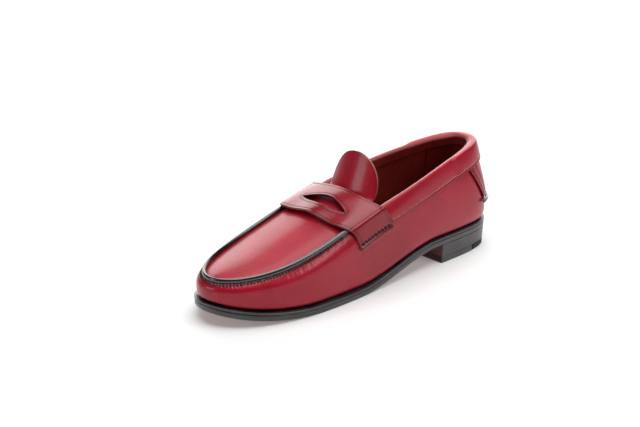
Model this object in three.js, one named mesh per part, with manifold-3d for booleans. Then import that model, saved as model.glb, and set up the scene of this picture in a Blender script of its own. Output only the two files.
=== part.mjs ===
// A left-foot penny loafer with a cemented sole, in millimetres.
// +Z is up, the toe points to -Y and +X is the outer (lateral) side of the foot.
// Every layer of the upper is a shell offset from one lasted surface, wall(u, v):
// u runs once round the shoe from the back of the heel (0) along the outer side to the toe (0.5) and back,
// v runs up the wall from the feather edge (0) to the topline or the apron seam (1).
import * as THREE from "three";
import { mergeVertices } from "three/addons/utils/BufferGeometryUtils.js";
import Module from "manifold-3d";

const wasm = await Module();
wasm.setup();

// ---------- driving dimensions ----------
const clearance = 0.3; // left between two pieces that touch
const soleLength = 300; // over the outsole
const ballWidth = 96; // over the outsole at the ball
const backHeight = 67.5; // of the topline over the feather edge at the heel
const heelHeight = 17; // of the heel block under the outsole
const heelLength = 72; // of the heel block, along the shoe
const toeSpring = 12; // of the outsole's underside at the toe
const outsoleThickness = 4.7;
const midsoleThickness = 2;
const welt = { heel: 1.5, forepart: 3.2 }; // the sole edge shows past the upper by this
const leather = 1.4; // outer leather
const liningThickness = 1;
const stiffener = 0.8; // heel counter and toe puff
const lastingMargin = 12; // of the upper, turned in under the insole
const insoleThickness = 2.2;
const featherRound = 3; // the insole's edge keeps off the rounding at the foot of the wall
const sockThickness = 1;
const heelPad = { thickness: 2.4, length: 58, lead: 4, taper: 14, inset: 4 }; // the sock liner falls past it
const shank = { width: 15, thickness: 1.6, from: 42, to: 172 };
const filler = { from: 178, toLoop: 0.484, thickness: 2.2 };
const apronCamber = { rise: 0.17, power: 1.8 }; // rise of the apron over its half width
const piping = { outer: 1, inner: 2, height: 3 }; // raised edge of the apron seam, about the seam line
const collar = { width: 16.5, thickness: 1.2, turn: 8, strapGap: 0.9 };
const panel = { foot: 20, footReach: 14, topReach: 46, gap: 0.45 }; // foot over the feather
const rollRadius = 1.6; // of the heel seam roll
const strap = {
  width: 39.5,
  flare: 3, // wider in the middle than at the ends
  thickness: 1.8,
  back: 151, // its back edge, from the heel
  sweep: 20, // of its ends towards the heel
  curve: 2.3, // power of the sweep
  foot: 21, // of its ends under the seam, along the wall
  lift: 4.6, // over the apron
  rimLift: 0.9, // added towards the apron's edge
  sag: 1.8, // of its front edge
  gap: 0.5,
};
const slot = { halfLength: 26, back: 6, front: 5.5, forward: 2 };
const tongue = { halfWidth: 26.5, fall: 7, crown: 0.4, crownPower: 2.3, flexGap: 0.8, drop: 0.2 };
const thread = 0.45; // radius of a sewing thread
const outsoleInset = 0.4; // of the outsole's edge under the midsole's
const topLift = { thickness: 5.6, rubberLength: 30 };
const liftCount = 3;
const heelTaper = 1.1; // from the first lift to the top lift
const nail = { radius: 1.1, length: 13, headRadius: 2.2, headHeight: 1.2, sunk: 0.2, sides: 8 };

// ---------- the last ----------
// Stations round the shoe on the sample last, 300 long and 96 wide: outsole edge x and distance from the
// heel, then the top edge of the wall (x, distance, height), then the wall's bulge low, middle, high.
const sample = { length: 300, width: 96, back: 67.5, feather: 24 };
const outerStations = [
  [0, 0, 0, 9.5, 91.5, 3.8, 3.6, 1.5],
  [17, 3.5, 10, 12, 91, 3.8, 3.6, 1.5],
  [29.5, 16, 18.5, 24, 89.5, 3.6, 3.5, 1.5],
  [35, 42, 25.5, 50, 86, 3, 3, 1.5],
  [37.5, 78, 32.5, 84, 80.5, 3, 3, 1.5],
  [40, 118, 36, 118, 73.5, 2.5, 2.5, 2],
  [43.5, 160, 37.2, 154, 66, 2, 3, 3.5],
  [46.5, 205, 38.6, 203, 51.5, 2, 3.5, 4.5],
  [43, 246, 35.4, 244, 41, 2, 3.5, 4.5],
  [28, 283.5, 23, 279, 37, 2, 3.5, 4],
  [0, 300, 1, 293, 35.5, 2, 3.5, 3.5],
];
const innerStations = [
  [-28, 285, -21, 280, 37, 2, 3.5, 4],
  [-45, 250, -34, 246, 41.5, 2, 3.5, 4.5],
  [-48.5, 210, -38, 205, 51.5, 2, 3.5, 4.5],
  [-42, 165, -37, 156, 66, 2, 3, 3.5],
  [-32, 122, -36, 118, 73.5, 2.5, 2.5, 2],
  [-32.5, 80, -32.5, 84, 80.5, 3, 3, 1.5],
  [-34, 42, -25.5, 50, 86, 3, 3, 1.5],
  [-29, 16, -18.5, 24, 89.5, 3.6, 3.5, 1.5],
  [-17, 3.5, -10, 12, 91, 3.8, 3.6, 1.5],
];
const featherOverGround = heelHeight + outsoleThickness + midsoleThickness + clearance;
const lengthGrade = soleLength / sample.length;
const widthGrade = ballWidth / sample.width;
const heightGrade = backHeight / sample.back;
const stations = [...outerStations, ...innerStations].map(([x, t, topX, topT, topZ, ...bulge]) => [
  x * widthGrade,
  t * lengthGrade,
  topX * widthGrade,
  topT * lengthGrade,
  featherOverGround + (topZ - sample.feather) * heightGrade,
  ...bulge,
]);
const waistLead = 4; // from the heel block's breast
const waistStart = (heelLength + waistLead) * lengthGrade; // the underside leaves the heel's height here
const flatStart = 172 * lengthGrade; // and lies on the ground from here
const flatEnd = 212 * lengthGrade; // to here

const up = new THREE.Vector3(0, 0, 1);
const slopeStep = 2e-3; // in a surface's own parameters
const clamp01 = (x) => Math.min(1, Math.max(0, x));
const ease = (x) => clamp01(x) ** 2 * (3 - 2 * clamp01(x));
const mix = (a, b, share) => a + (b - a) * share;
const steps = (from, to, count) => Array.from({ length: count + 1 }, (_, i) => mix(from, to, i / count));

// A curve with smooth curvature through rows of numbers: a cubic B-spline whose control rows are
// moved out by a sixth of their second difference.
function controlRows(rows, closed) {
  const last = rows.length - 1;
  return rows.map((row, i) => {
    if (!closed && (i === 0 || i === last)) return row;
    const before = rows[(i + last) % rows.length];
    const after = rows[(i + 1) % rows.length];
    return row.map((value, k) => value - (before[k] - 2 * value + after[k]) / 6);
  });
}
function splineAt(control, at, closed) {
  const count = control.length;
  const i = closed ? Math.floor(at) : Math.min(count - 2, Math.max(0, Math.floor(at)));
  const f = at - i;
  const row = (k) => {
    if (closed) return control[(((i + k) % count) + count) % count];
    if (i + k < 0) return control[0].map((value, n) => 2 * value - control[1][n]);
    if (i + k >= count) return control[count - 1].map((value, n) => 2 * value - control[count - 2][n]);
    return control[i + k];
  };
  const [a, b, c, d] = [row(-1), row(0), row(1), row(2)];
  return a.map(
    (_, k) =>
      ((1 - f) ** 3 * a[k] +
        (3 * f ** 3 - 6 * f ** 2 + 4) * b[k] +
        (-3 * f ** 3 + 3 * f ** 2 + 3 * f + 1) * c[k] +
        f ** 3 * d[k]) / 6,
  );
}
const lastControl = controlRows(stations, true);
const station = (u) => splineAt(lastControl, u * stations.length, true);

// Height of the outsole's underside over the ground at a distance from the back of the heel.
function groundGap(t) {
  const waist = 1 - ease((t - waistStart) / (flatStart - waistStart));
  const toe = clamp01((t - flatEnd) / (soleLength - flatEnd)) ** 2;
  return heelHeight * waist + toeSpring * toe;
}
const place = (x, t, z) => new THREE.Vector3(x, soleLength / 2 - t, z);
const distanceFromHeel = (point) => soleLength / 2 - point.y;

function outward(u) {
  const h = 1e-3;
  const [ax, at] = station(u - h);
  const [bx, bt] = station(u + h);
  return new THREE.Vector3(bt - at, bx - ax, 0).normalize();
}
// A point of the sole's outline, set in from the edge, at a height over the outsole's underside.
function soleEdge(u, inset, height) {
  const [x, t] = station(u);
  const point = place(x, t, 0).addScaledVector(outward(u), -inset);
  return point.setZ(groundGap(distanceFromHeel(point)) + height);
}
// Of the turned-in margins over the midsole, whose slopes differ a little at the waist.
const marginGap = 0.36;
const soleStack = outsoleThickness + clearance + midsoleThickness + marginGap;
const weltGrowth = { from: 0.3, over: 0.37 }; // shares of the sole's length
function weltWidth(u) {
  const forward = (station(u)[1] / soleLength - weltGrowth.from) / weltGrowth.over;
  return mix(welt.heel, welt.forepart, ease(forward));
}
const feather = (u) => soleEdge(u, weltWidth(u), soleStack);
function topEdge(u) {
  const [, , x, t, z] = station(u);
  return place(x, t, z);
}

// The outer surface of the upper. v below 0 is the margin turned in under the insole.
const wallRows = { low: 0.22, middle: 0.5, high: 0.78 }; // heights of the bulges, foot to top
const featherCurve = { out: 0.3, up: 2.2, marginShare: 2.4 };
function wallPoint(u, v) {
  const n = outward(u);
  const foot = feather(u);
  const top = topEdge(u);
  const [, , , , , low, middle, high] = station(u);
  const raised = (share, bulge) => foot.clone().lerp(top, share).addScaledVector(n, bulge);
  const turnedIn = (reach) => soleEdge(u, weltWidth(u) + reach, soleStack);
  const section = [
    turnedIn(lastingMargin),
    turnedIn(lastingMargin / featherCurve.marginShare),
    foot.clone().addScaledVector(n, featherCurve.out).addScaledVector(up, featherCurve.up),
    raised(wallRows.low, low),
    raised(wallRows.middle, middle),
    raised(wallRows.high, high),
    top,
  ].map((p) => p.toArray());
  const footRow = 2;
  const at = footRow + (section.length - 1 - footRow) * v;
  return new THREE.Vector3(...splineAt(controlRows(section, false), at, false));
}
function wallNormal(u, v) {
  const h = slopeStep;
  const along = wallPoint(u + h, v).sub(wallPoint(u - h, v));
  const rise = wallPoint(u, Math.min(1, v + h)).sub(wallPoint(u, v - h));
  return rise.cross(along).normalize();
}
const wall = (u, v, offset = 0) => wallPoint(u, v).addScaledVector(wallNormal(u, v), offset);
const wallLength = (u) => {
  const points = steps(0, 1, 12).map((v) => wallPoint(u, v));
  return points.slice(1).reduce((sum, p, i) => sum + p.distanceTo(points[i]), 0);
};

// The seam line between wall and apron, with the directions across it and up from it.
function seamFrame(u) {
  const along = topEdge(u + slopeStep).sub(topEdge(u - slopeStep)).normalize();
  const inwards = along.clone().cross(up).normalize();
  return { point: topEdge(u), inwards, rise: inwards.clone().cross(along).normalize() };
}
// The apron spans the opening of the wall; s runs from -1 (inner side) to 1 (outer side).
function apronPoint(u, s, trim = piping.inner) {
  const edge = (loop) => {
    const { point, inwards } = seamFrame(loop);
    return point.addScaledVector(inwards, trim);
  };
  const outer = edge(u);
  const inner = edge(1 - u);
  const rise = (apronCamber.rise * outer.distanceTo(inner) * (1 - Math.abs(s) ** apronCamber.power)) / 2;
  return inner.lerp(outer, (s + 1) / 2).addScaledVector(up, rise);
}
function normalOf(surface, a, b) {
  const h = slopeStep;
  const alongA = surface(a + h, b).sub(surface(a - h, b));
  const alongB = surface(a, b + h).sub(surface(a, b - h));
  return alongA.cross(alongB).normalize();
}
const offsetFrom = (surface) => (a, b, offset) =>
  surface(a, b).addScaledVector(normalOf(surface, a, b), offset);
const apron = offsetFrom(apronPoint);

// Loop parameter at which the top edge, or the sole's edge, is a distance from the back of the heel.
function loopAt(distance, column) {
  const loops = steps(0, 0.5, 400);
  return loops.find((u) => station(u)[column] >= distance) ?? 0.5;
}
const topLoopAt = (distance) => loopAt(distance * lengthGrade, 3);
const soleLoopAt = (distance) => loopAt(distance * lengthGrade, 1);

// ---------- solids ----------
// A closed solid through rings of points. Each ring has an even count, and its first half faces its second
// half with its edges the same way round, so that an end is closed by a strip between them.
function skin(rings, closed = false) {
  const size = rings[0].length;
  const triangles = [];
  const quad = (a, b, c, d) => triangles.push(a, b, c, a, c, d);
  const bands = closed ? rings.length : rings.length - 1;
  for (let r = 0; r < bands; r++) {
    const here = r * size;
    const next = ((r + 1) % rings.length) * size;
    for (let i = 0; i < size; i++) {
      const j = (i + 1) % size;
      if (i < size / 2) quad(here + i, here + j, next + j, next + i);
      else quad(here + j, next + j, next + i, here + i);
    }
  }
  if (!closed) {
    const end = (rings.length - 1) * size;
    for (let i = 0; i < size / 2 - 1; i++) {
      quad(i, size - 1 - i, size - 2 - i, i + 1);
      quad(end + i, end + i + 1, end + size - 2 - i, end + size - 1 - i);
    }
  }
  const points = rings.flat();
  const volume = new THREE.Vector3();
  let sum = 0;
  for (let i = 0; i < triangles.length; i += 3) {
    const [a, b, c] = triangles.slice(i, i + 3).map((k) => points[k]);
    sum += volume.crossVectors(b, c).dot(a);
  }
  if (sum < 0) triangles.reverse();
  const geometry = new THREE.BufferGeometry().setFromPoints(points);
  geometry.setIndex(triangles);
  return geometry;
}
const valueAt = (of, ...at) => (typeof of === "function" ? of(...at) : of);
const ringOf = (outer, inner) => [...outer, ...inner.slice().reverse()];

// A shell between two offsets of a surface, over lists of its two parameters.
function shell(surface, aValues, bValues, outside, inside) {
  const rings = aValues.map((a) => {
    const side = (offset) => bValues.map((b) => surface(a, b, valueAt(offset, a, b)));
    return ringOf(side(outside), side(inside));
  });
  return skin(rings);
}
// All layers share one grid over the wall, so that their facets lie parallel and their gaps stay even.
// The ring nearest to where the outsole leaves the heel's height is moved there.
const halfLoops = [...steps(0, 0.1, 6), ...steps(0.125, 0.375, 10), ...steps(0.4, 0.5, 6)];
const waistLoop = loopAt(waistStart, 1);
const offWaist = (u) => Math.abs(u - waistLoop);
const nearest = halfLoops.reduce((best, u) => (offWaist(u) < offWaist(best) ? u : best));
halfLoops[halfLoops.indexOf(nearest)] = waistLoop;
const loopGrid = [...halfLoops, ...halfLoops.slice(1, -1).map((u) => 1 - u).reverse()];
const riseGrid = [-0.42, -0.28, -0.1, 0.02, 0.12, 0.3, 0.5, 0.7, 0.86, 1];
const within = (grid, from, to) => {
  const margin = 0.004;
  return [from, ...grid.filter((k) => k > from + margin && k < to - margin), to];
};
const loopsWithin = (from, to, extra = []) =>
  within([...loopGrid.map((u) => u - 1), ...loopGrid, ...extra].sort((a, b) => a - b), from, to);
const wallShell = (from, to, foot, top, outside, inside) =>
  shell(wall, loopsWithin(from, to), within(riseGrid, foot, top), outside, inside);
// A thread or a roll along points that each carry a normal.
function cord(path, radius, closed = false, flat = 1) {
  const rings = path.map(({ point, normal }, i) => {
    const before = path[closed ? (i + path.length - 1) % path.length : Math.max(0, i - 1)].point;
    const after = path[closed ? (i + 1) % path.length : Math.min(path.length - 1, i + 1)].point;
    const across = after.clone().sub(before).cross(normal).normalize();
    const corner = (a, b) =>
      point.clone().addScaledVector(normal, a * radius * flat).addScaledVector(across, b * radius);
    return [corner(1, 0), corner(0, 1), corner(-1, 0), corner(0, -1)];
  });
  return skin(rings, closed);
}
const onWall = (u, v, offset) => ({ point: wall(u, v, offset), normal: wallNormal(u, v) });

// A plate that follows the sole's outline; heights are over the outsole's underside.
const plateEnds = [0.004, 0.496]; // short of the middle line, where the two halves of a ring would meet
function plate(inset, bottom, top, from = plateEnds[0], to = plateEnds[1], extra = []) {
  const rings = loopsWithin(from, to, extra).map((u) => {
    const outer = soleEdge(u, valueAt(inset, u), 0);
    const inner = soleEdge(1 - u, valueAt(inset, 1 - u), 0);
    const across = steps(0, 1, 3).map((k) => inner.clone().lerp(outer, k));
    const level = (height) =>
      across.map((p) => {
        const t = distanceFromHeel(p);
        return p.clone().setZ(groundGap(t) + valueAt(height, t));
      });
    return ringOf(level(top), level(bottom));
  });
  return skin(rings);
}
const solidOf = (geometry) => {
  const bare = geometry.clone().deleteAttribute("normal").deleteAttribute("uv");
  const merged = mergeVertices(bare, 1e-4);
  return new wasm.Manifold(
    new wasm.Mesh({
      numProp: 3,
      vertProperties: merged.attributes.position.array,
      triVerts: new Uint32Array(merged.index.array),
    }),
  );
};
function geometryOf(solid) {
  const mesh = solid.getMesh();
  const geometry = new THREE.BufferGeometry();
  geometry.setAttribute("position", new THREE.BufferAttribute(mesh.vertProperties, 3));
  geometry.setIndex(new THREE.BufferAttribute(mesh.triVerts, 1));
  return geometry;
}

const finishes = {
  redLeather: { color: 0x8e1620, roughness: 0.32 },
  darkEdge: { color: 0x2a2021, roughness: 0.35 },
  liningLeather: { color: 0x4a1114, roughness: 0.6 },
  tanLeather: { color: 0x8a5a3a, roughness: 0.6 },
  blackEdge: { color: 0x26262a, roughness: 0.4 },
  soleLeather: { color: 0x7a3f2c, roughness: 0.55 },
  redThread: { color: 0x5a1016, roughness: 0.8 },
  board: { color: 0xa08860, roughness: 0.9 },
  foam: { color: 0xcfc6b4, roughness: 0.95 },
  cork: { color: 0xa9814f, roughness: 0.95 },
  rubber: { color: 0x19191b, roughness: 0.7 },
  steel: { color: 0x9a9ca0, roughness: 0.35, metalness: 1 },
  brass: { color: 0xb08a3e, roughness: 0.35, metalness: 1 },
};
const materials = Object.fromEntries(
  Object.entries(finishes).map(([name, look]) => [name, new THREE.MeshStandardMaterial(look)]),
);
const shoe = new THREE.Group();
function add(name, geometry, finish) {
  const mesh = new THREE.Mesh(geometry, materials[finish]);
  mesh.name = name;
  shoe.add(mesh);
}

// Depth of the lining's outer face under the outer surface, with room for the counter and the toe puff.
const counter = { reach: 0.1, foot: 0.06, top: 0.72 };
const puff = { reach: 1 / 12, foot: 0.06, top: 0.9 };
const roomRamp = { loop: 0.02, foot: -0.06, rise: 0.09 };
function liningDepth(u, v = 0.5) {
  const loop = u - Math.floor(u);
  const fromHeel = Math.min(loop, 1 - loop) - counter.reach;
  const fromToe = Math.abs(loop - 0.5) - puff.reach;
  const alongWall = 1 - ease(Math.min(fromHeel, fromToe) / roomRamp.loop);
  const room = alongWall * ease((v - roomRamp.foot) / roomRamp.rise);
  return leather + clearance + (stiffener + clearance) * room;
}

// ---------- sole ----------
const midsoleBottom = outsoleThickness + clearance;
const midsoleTop = midsoleBottom + midsoleThickness;
add("outsole", plate(outsoleInset, 0, outsoleThickness), "soleLeather");
add("midsole", plate(0, midsoleBottom, midsoleTop), "blackEdge");

// The heel block: layers of leather and a top lift, nailed on from below.
const nailPlaces = [[0, 12], [16, 22], [-16, 22], [13, 58], [-13, 58]];
const nailSpots = nailPlaces.map(([x, t]) => place(x * widthGrade, t * lengthGrade, 0));
const cylinder = (radius, bottom, height, spot) => {
  const rod = new THREE.CylinderGeometry(radius, radius, height, nail.sides).rotateX(Math.PI / 2);
  return rod.translate(spot.x, spot.y, bottom + height / 2);
};
function nailSolid(spot, room) {
  const foot = nail.sunk - room;
  const rod = (radius, height) => solidOf(cylinder(radius + room, foot, height + 2 * room, spot));
  return rod(nail.headRadius, nail.headHeight).add(rod(nail.radius, nail.length));
}
function drilled(geometry) {
  const bored = (solid, spot) => solid.subtract(nailSolid(spot, clearance));
  return geometryOf(nailSpots.reduce(bored, solidOf(geometry)));
}
const liftThickness = (heelHeight - topLift.thickness - (liftCount + 1) * clearance) / liftCount;
const breast = soleLoopAt(heelLength);
for (let i = 0; i < liftCount; i++) {
  const bottom = -heelHeight + topLift.thickness + clearance + i * (liftThickness + clearance);
  const inset = outsoleInset + (heelTaper * (liftCount - i)) / (liftCount + 1);
  const lift = plate(inset, bottom, bottom + liftThickness, plateEnds[0], breast);
  add(`heel_lift_${i + 1}`, drilled(lift), "blackEdge");
}
const rubberFront = soleLoopAt(topLift.rubberLength);
const topLiftPlate = (from, to) =>
  drilled(plate(outsoleInset + heelTaper, -heelHeight, topLift.thickness - heelHeight, from, to));
const buttGap = 0.002; // of two butted pieces, in loop
add("top_lift", topLiftPlate(rubberFront + buttGap, breast), "blackEdge");
add("top_lift_rubber", topLiftPlate(plateEnds[0], rubberFront), "rubber");
nailSpots.forEach((spot, i) => add(`heel_nail_${i + 1}`, geometryOf(nailSolid(spot, 0)), "brass"));

// Inside the bottom: the filler and the shank lie between the turned-in margins, the insole over them.
const marginTop = soleStack + leather + clearance + liningThickness;
const insoleBottom = marginTop + clearance;
const insoleTop = insoleBottom + insoleThickness;
const insoleInset = (u) => weltWidth(u) + liningDepth(u) + liningThickness + featherRound;
const padRise = (t) => heelPad.thickness * (1 - ease((t - heelPad.length - heelPad.lead) / heelPad.taper));
add("insole", plate(insoleInset, insoleBottom, insoleTop), "board");
const padFront = soleLoopAt(heelPad.length);
const padInset = (u) => insoleInset(u) + heelPad.inset;
const padBottom = insoleTop + clearance;
const padTop = padBottom + heelPad.thickness - clearance;
add("heel_pad", plate(padInset, padBottom, padTop, plateEnds[0], padFront), "foam");
const sockOverhang = 0.6; // of the sock liner past the insole's edge
const sockBends = [heelPad.length + 7, heelPad.length + heelPad.taper].map(soleLoopAt);
const sockBottom = (t) => insoleTop + clearance + padRise(t);
add(
  "sock_liner",
  plate(
    (u) => insoleInset(u) - sockOverhang,
    sockBottom,
    (t) => sockBottom(t) + sockThickness,
    ...plateEnds,
    sockBends,
  ),
  "tanLeather",
);
const fillerBottom = soleStack;
const fillerInset = (u) => weltWidth(u) + lastingMargin + 2 * clearance;
add(
  "cork_filler",
  plate(fillerInset, fillerBottom, fillerBottom + filler.thickness, soleLoopAt(filler.from), filler.toLoop),
  "cork",
);
const shankRings = loopsWithin(soleLoopAt(shank.from), soleLoopAt(shank.to)).map((u) => {
  const t = (station(u)[1] + station(1 - u)[1]) / 2;
  const across = [-shank.width / 2, shank.width / 2];
  const level = (height) => across.map((x) => place(x, t, groundGap(t) + height));
  return ringOf(level(fillerBottom + shank.thickness), level(fillerBottom));
});
add("shank", skin(shankRings), "steel");

// ---------- upper ----------
const backSeam = 6e-4; // loop parameter of the vamp's ends, which meet under the heel panel
add("vamp", wallShell(backSeam, 1 - backSeam, riseGrid[0], 1, 0, -leather), "redLeather");
const panelFoot = (panel.foot + rollRadius + clearance) / backHeight;
const panelEnds = [soleLoopAt(panel.footReach), topLoopAt(panel.topReach)];
const panelEnd = (v) => mix(...panelEnds, (v - panelFoot) / (1 - panelFoot));
const panelSurface = (share, v, offset) => wall(share * panelEnd(v), v, offset);
add(
  "heel_panel",
  shell(panelSurface, steps(-1, 1, 18), within(riseGrid, panelFoot, 1), panel.gap + leather, panel.gap),
  "redLeather",
);
const rollEnd = panelEnds[0] + 0.01; // a little past the panel's foot
const rollHeight = panel.foot / backHeight - 0.004;
const rollRow = (u) => onWall(u, rollHeight, rollRadius + 2 * clearance);
add("heel_seam_roll", cord(loopsWithin(-rollEnd, rollEnd).map(rollRow), rollRadius), "darkEdge");
const stiffenerFaces = [-leather - clearance, -leather - clearance - stiffener];
add(
  "heel_counter",
  wallShell(-counter.reach, counter.reach, counter.foot, counter.top, ...stiffenerFaces),
  "board",
);
add(
  "toe_puff",
  wallShell(0.5 - puff.reach, 0.5 + puff.reach, puff.foot, puff.top, ...stiffenerFaces),
  "board",
);
const liningFaces = [(u, v) => -liningDepth(u, v), (u, v) => -liningDepth(u, v) - liningThickness];
const liningPatch = (from, to, top = 1) =>
  wallShell(from + liningJoint, to - liningJoint, riseGrid[1], top, ...liningFaces);
const liningJoint = 8e-4; // half the gap between two butted linings, in loop
const gripEnd = 0.125;
const vampLiningEnd = 0.275;
const vampLiningTop = 0.93; // clear of the apron's lining
add("heel_grip", liningPatch(-gripEnd, gripEnd), "liningLeather");
add("quarter_lining_lateral", liningPatch(gripEnd, vampLiningEnd), "liningLeather");
add("quarter_lining_medial", liningPatch(1 - vampLiningEnd, 1 - gripEnd), "liningLeather");
add("vamp_lining", liningPatch(vampLiningEnd, 1 - vampLiningEnd, vampLiningTop), "liningLeather");

// The apron runs from the toe to just behind the strap's back edge, where the tongue hangs on it.
const apronBack = topLoopAt(strap.back + 1.5);
const apronFront = 0.494;
const apronLiningEnds = [apronBack + 0.006, apronFront - 0.002];
const crossGrid = steps(-1, 1, 6);
add("apron", shell(apron, loopsWithin(apronBack, apronFront), crossGrid, 0, -leather), "redLeather");
const plugTrim = 4.2; // of the apron lining from the seam line
const plugLining = offsetFrom((u, s) => apronPoint(u, s, plugTrim));
add(
  "apron_lining",
  shell(
    plugLining,
    loopsWithin(...apronLiningEnds),
    crossGrid,
    -leather - clearance,
    -leather - clearance - liningThickness,
  ),
  "liningLeather",
);

const pipingStart = topLoopAt(strap.back + 8);
const halfway = loopGrid.map((u, i) => (u + (loopGrid[i + 1] ?? 1)) / 2);
const pipingGrid = [...loopGrid, ...halfway].sort((a, b) => a - b);
const pipingShape = { shoulder: 0.6, outerTop: 0.4, innerTop: 0.6 }; // shares of its height and half widths
function pipingRing(u) {
  const { point, inwards, rise } = seamFrame(u);
  const corner = (a, b) => point.clone().addScaledVector(inwards, a).addScaledVector(rise, b + clearance);
  const { outer, inner, height } = piping;
  return [
    corner(-outer, 0),
    corner(-outer, pipingShape.shoulder * height),
    corner(-pipingShape.outerTop * outer, height),
    corner(pipingShape.innerTop * inner, height),
    corner(inner, pipingShape.shoulder * height),
    corner(inner, 0),
  ];
}
add("apron_piping", skin(within(pipingGrid, pipingStart, 1 - pipingStart).map(pipingRing)), "darkEdge");

// ---------- strap ----------
const instep = 0.32; // in loop
// Millimetres of top edge to one loop, at the instep.
const loopPace = topEdge(instep + 1e-3).distanceTo(topEdge(instep - 1e-3)) / 2e-3;
const strapBack = topLoopAt(strap.back);
const strapLoop = (s, q) => {
  const flare = mix(strap.flare, -strap.flare, q) / 2;
  const forward = strap.width * (1 - q) + (flare - strap.sweep) * Math.abs(s) ** strap.curve;
  return strapBack + forward / loopPace;
};
// s runs across the instep from the inner end (-1) to the outer end (1), q from the front edge (0) to the
// back (1). The strap turns over the piping through two points, out from the seam and up.
const strapTurn = { share: 0.45, gap: 0.2, low: [-1.6, 0.3], high: [-0.3, 1.7] };
const archShares = [-0.86, -0.6, -0.3, 0, 0.3, 0.6, 0.86];
function strapPoint(s, q) {
  const loop = strapLoop(s, q);
  const side = (u) => {
    const foot = strap.foot / wallLength(u);
    const { point, inwards, rise } = seamFrame(u);
    const seam = (a, b) => point.clone().addScaledVector(inwards, a).addScaledVector(rise, b);
    return [
      wall(u, 1 - foot, strap.gap),
      wall(u, 1 - strapTurn.share * foot, strap.gap + strapTurn.gap),
      seam(strapTurn.low[0] - piping.outer, strapTurn.low[1] * piping.height),
      seam(strapTurn.high[0] * piping.outer, strapTurn.high[1] + piping.height),
    ];
  };
  const sag = (share) => strap.sag * (1 - q) * Math.sin(Math.PI * Math.abs(share)) ** 2;
  const lift = (share) => strap.lift - sag(share) + strap.rimLift * share ** 4;
  const arch = archShares.map((share) => apron(loop, share, lift(share)));
  const rows = [...side(1 - loop), ...arch, ...side(loop).reverse()];
  const control = controlRows(rows.map((p) => p.toArray()), false);
  return new THREE.Vector3(...splineAt(control, ((s + 1) / 2) * (rows.length - 1), false));
}
const strapSurface = offsetFrom(strapPoint);
const strapRows = steps(-1, 1, 36);
const strapBlank = shell(strapSurface, strapRows, steps(0, 1, 4), strap.thickness, 0);
// The coin slot is a lens cut through the middle of the strap.
function slotCutter() {
  const ends = steps(-1, 1, 12).slice(1, -1).map((k) => [k * slot.halfLength, 1 - k * k]);
  const shape = new THREE.Shape([
    new THREE.Vector2(-slot.halfLength, 0),
    ...ends.map(([x, fullness]) => new THREE.Vector2(x, slot.back * fullness)),
    new THREE.Vector2(slot.halfLength, 0),
    ...ends.reverse().map(([x, fullness]) => new THREE.Vector2(x, -slot.front * fullness)),
  ]);
  const depth = 60;
  const cutter = new THREE.ExtrudeGeometry(shape, { depth, bevelEnabled: false });
  const middle = strapPoint(0, 0.5);
  return cutter.translate(middle.x, middle.y - slot.forward, middle.z - depth / 2);
}
add("penny_strap", geometryOf(solidOf(strapBlank).subtract(solidOf(slotCutter()))), "redLeather");
const threadRise = clearance + thread;
const onStrap = (s, q) => ({
  point: strapSurface(s, q, strap.thickness + threadRise),
  normal: normalOf(strapPoint, s, q),
});
const edgeRow = 0.06; // of the stitch rows, as a share of the strap's width
const endRow = 0.945;
const endThread = 1.4 * thread;
const sewnRows = strapRows.filter((s) => Math.abs(s) < endRow - 0.03);
add("strap_thread_front", cord(sewnRows.map((s) => onStrap(s, edgeRow)), thread), "redThread");
add("strap_thread_back", cord(sewnRows.map((s) => onStrap(s, 1 - edgeRow)), thread), "redThread");
const sides = [["lateral", 1], ["medial", -1]];
for (const [name, side] of sides) {
  const row = steps(0.08, 0.92, 6).map((q) => onStrap(side * endRow, q));
  add("strap_end_thread_" + name, cord(row, endThread), "redThread");
}
const strapFront = strapLoop(0.6, 0) + 0.004;
const toeJoin = 0.003; // of the two apron threads from the toe, in loop
const apronRow = 2.2; // under the seam
for (const [name, side] of sides) {
  const from = side > 0 ? strapFront : 0.5 + toeJoin;
  const to = side > 0 ? 0.5 - toeJoin : 1 - strapFront;
  const row = steps(from, to, 20).map((u) => onWall(u, 1 - apronRow / wallLength(u), threadRise));
  add("apron_thread_" + name, cord(row, thread), "redThread");
}

// ---------- collar band ----------
// The collar rises over the panel's edge between these two loop parameters.
const panelStep = { from: panelEnds[1] + 0.018, to: panelEnds[1] + 0.006 };
const overPanel = (u) => clamp01((panelStep.from - Math.abs(u)) / (panelStep.from - panelStep.to));
const panelLift = (u) => (clearance + panel.gap + leather) * overPanel(u);
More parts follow.
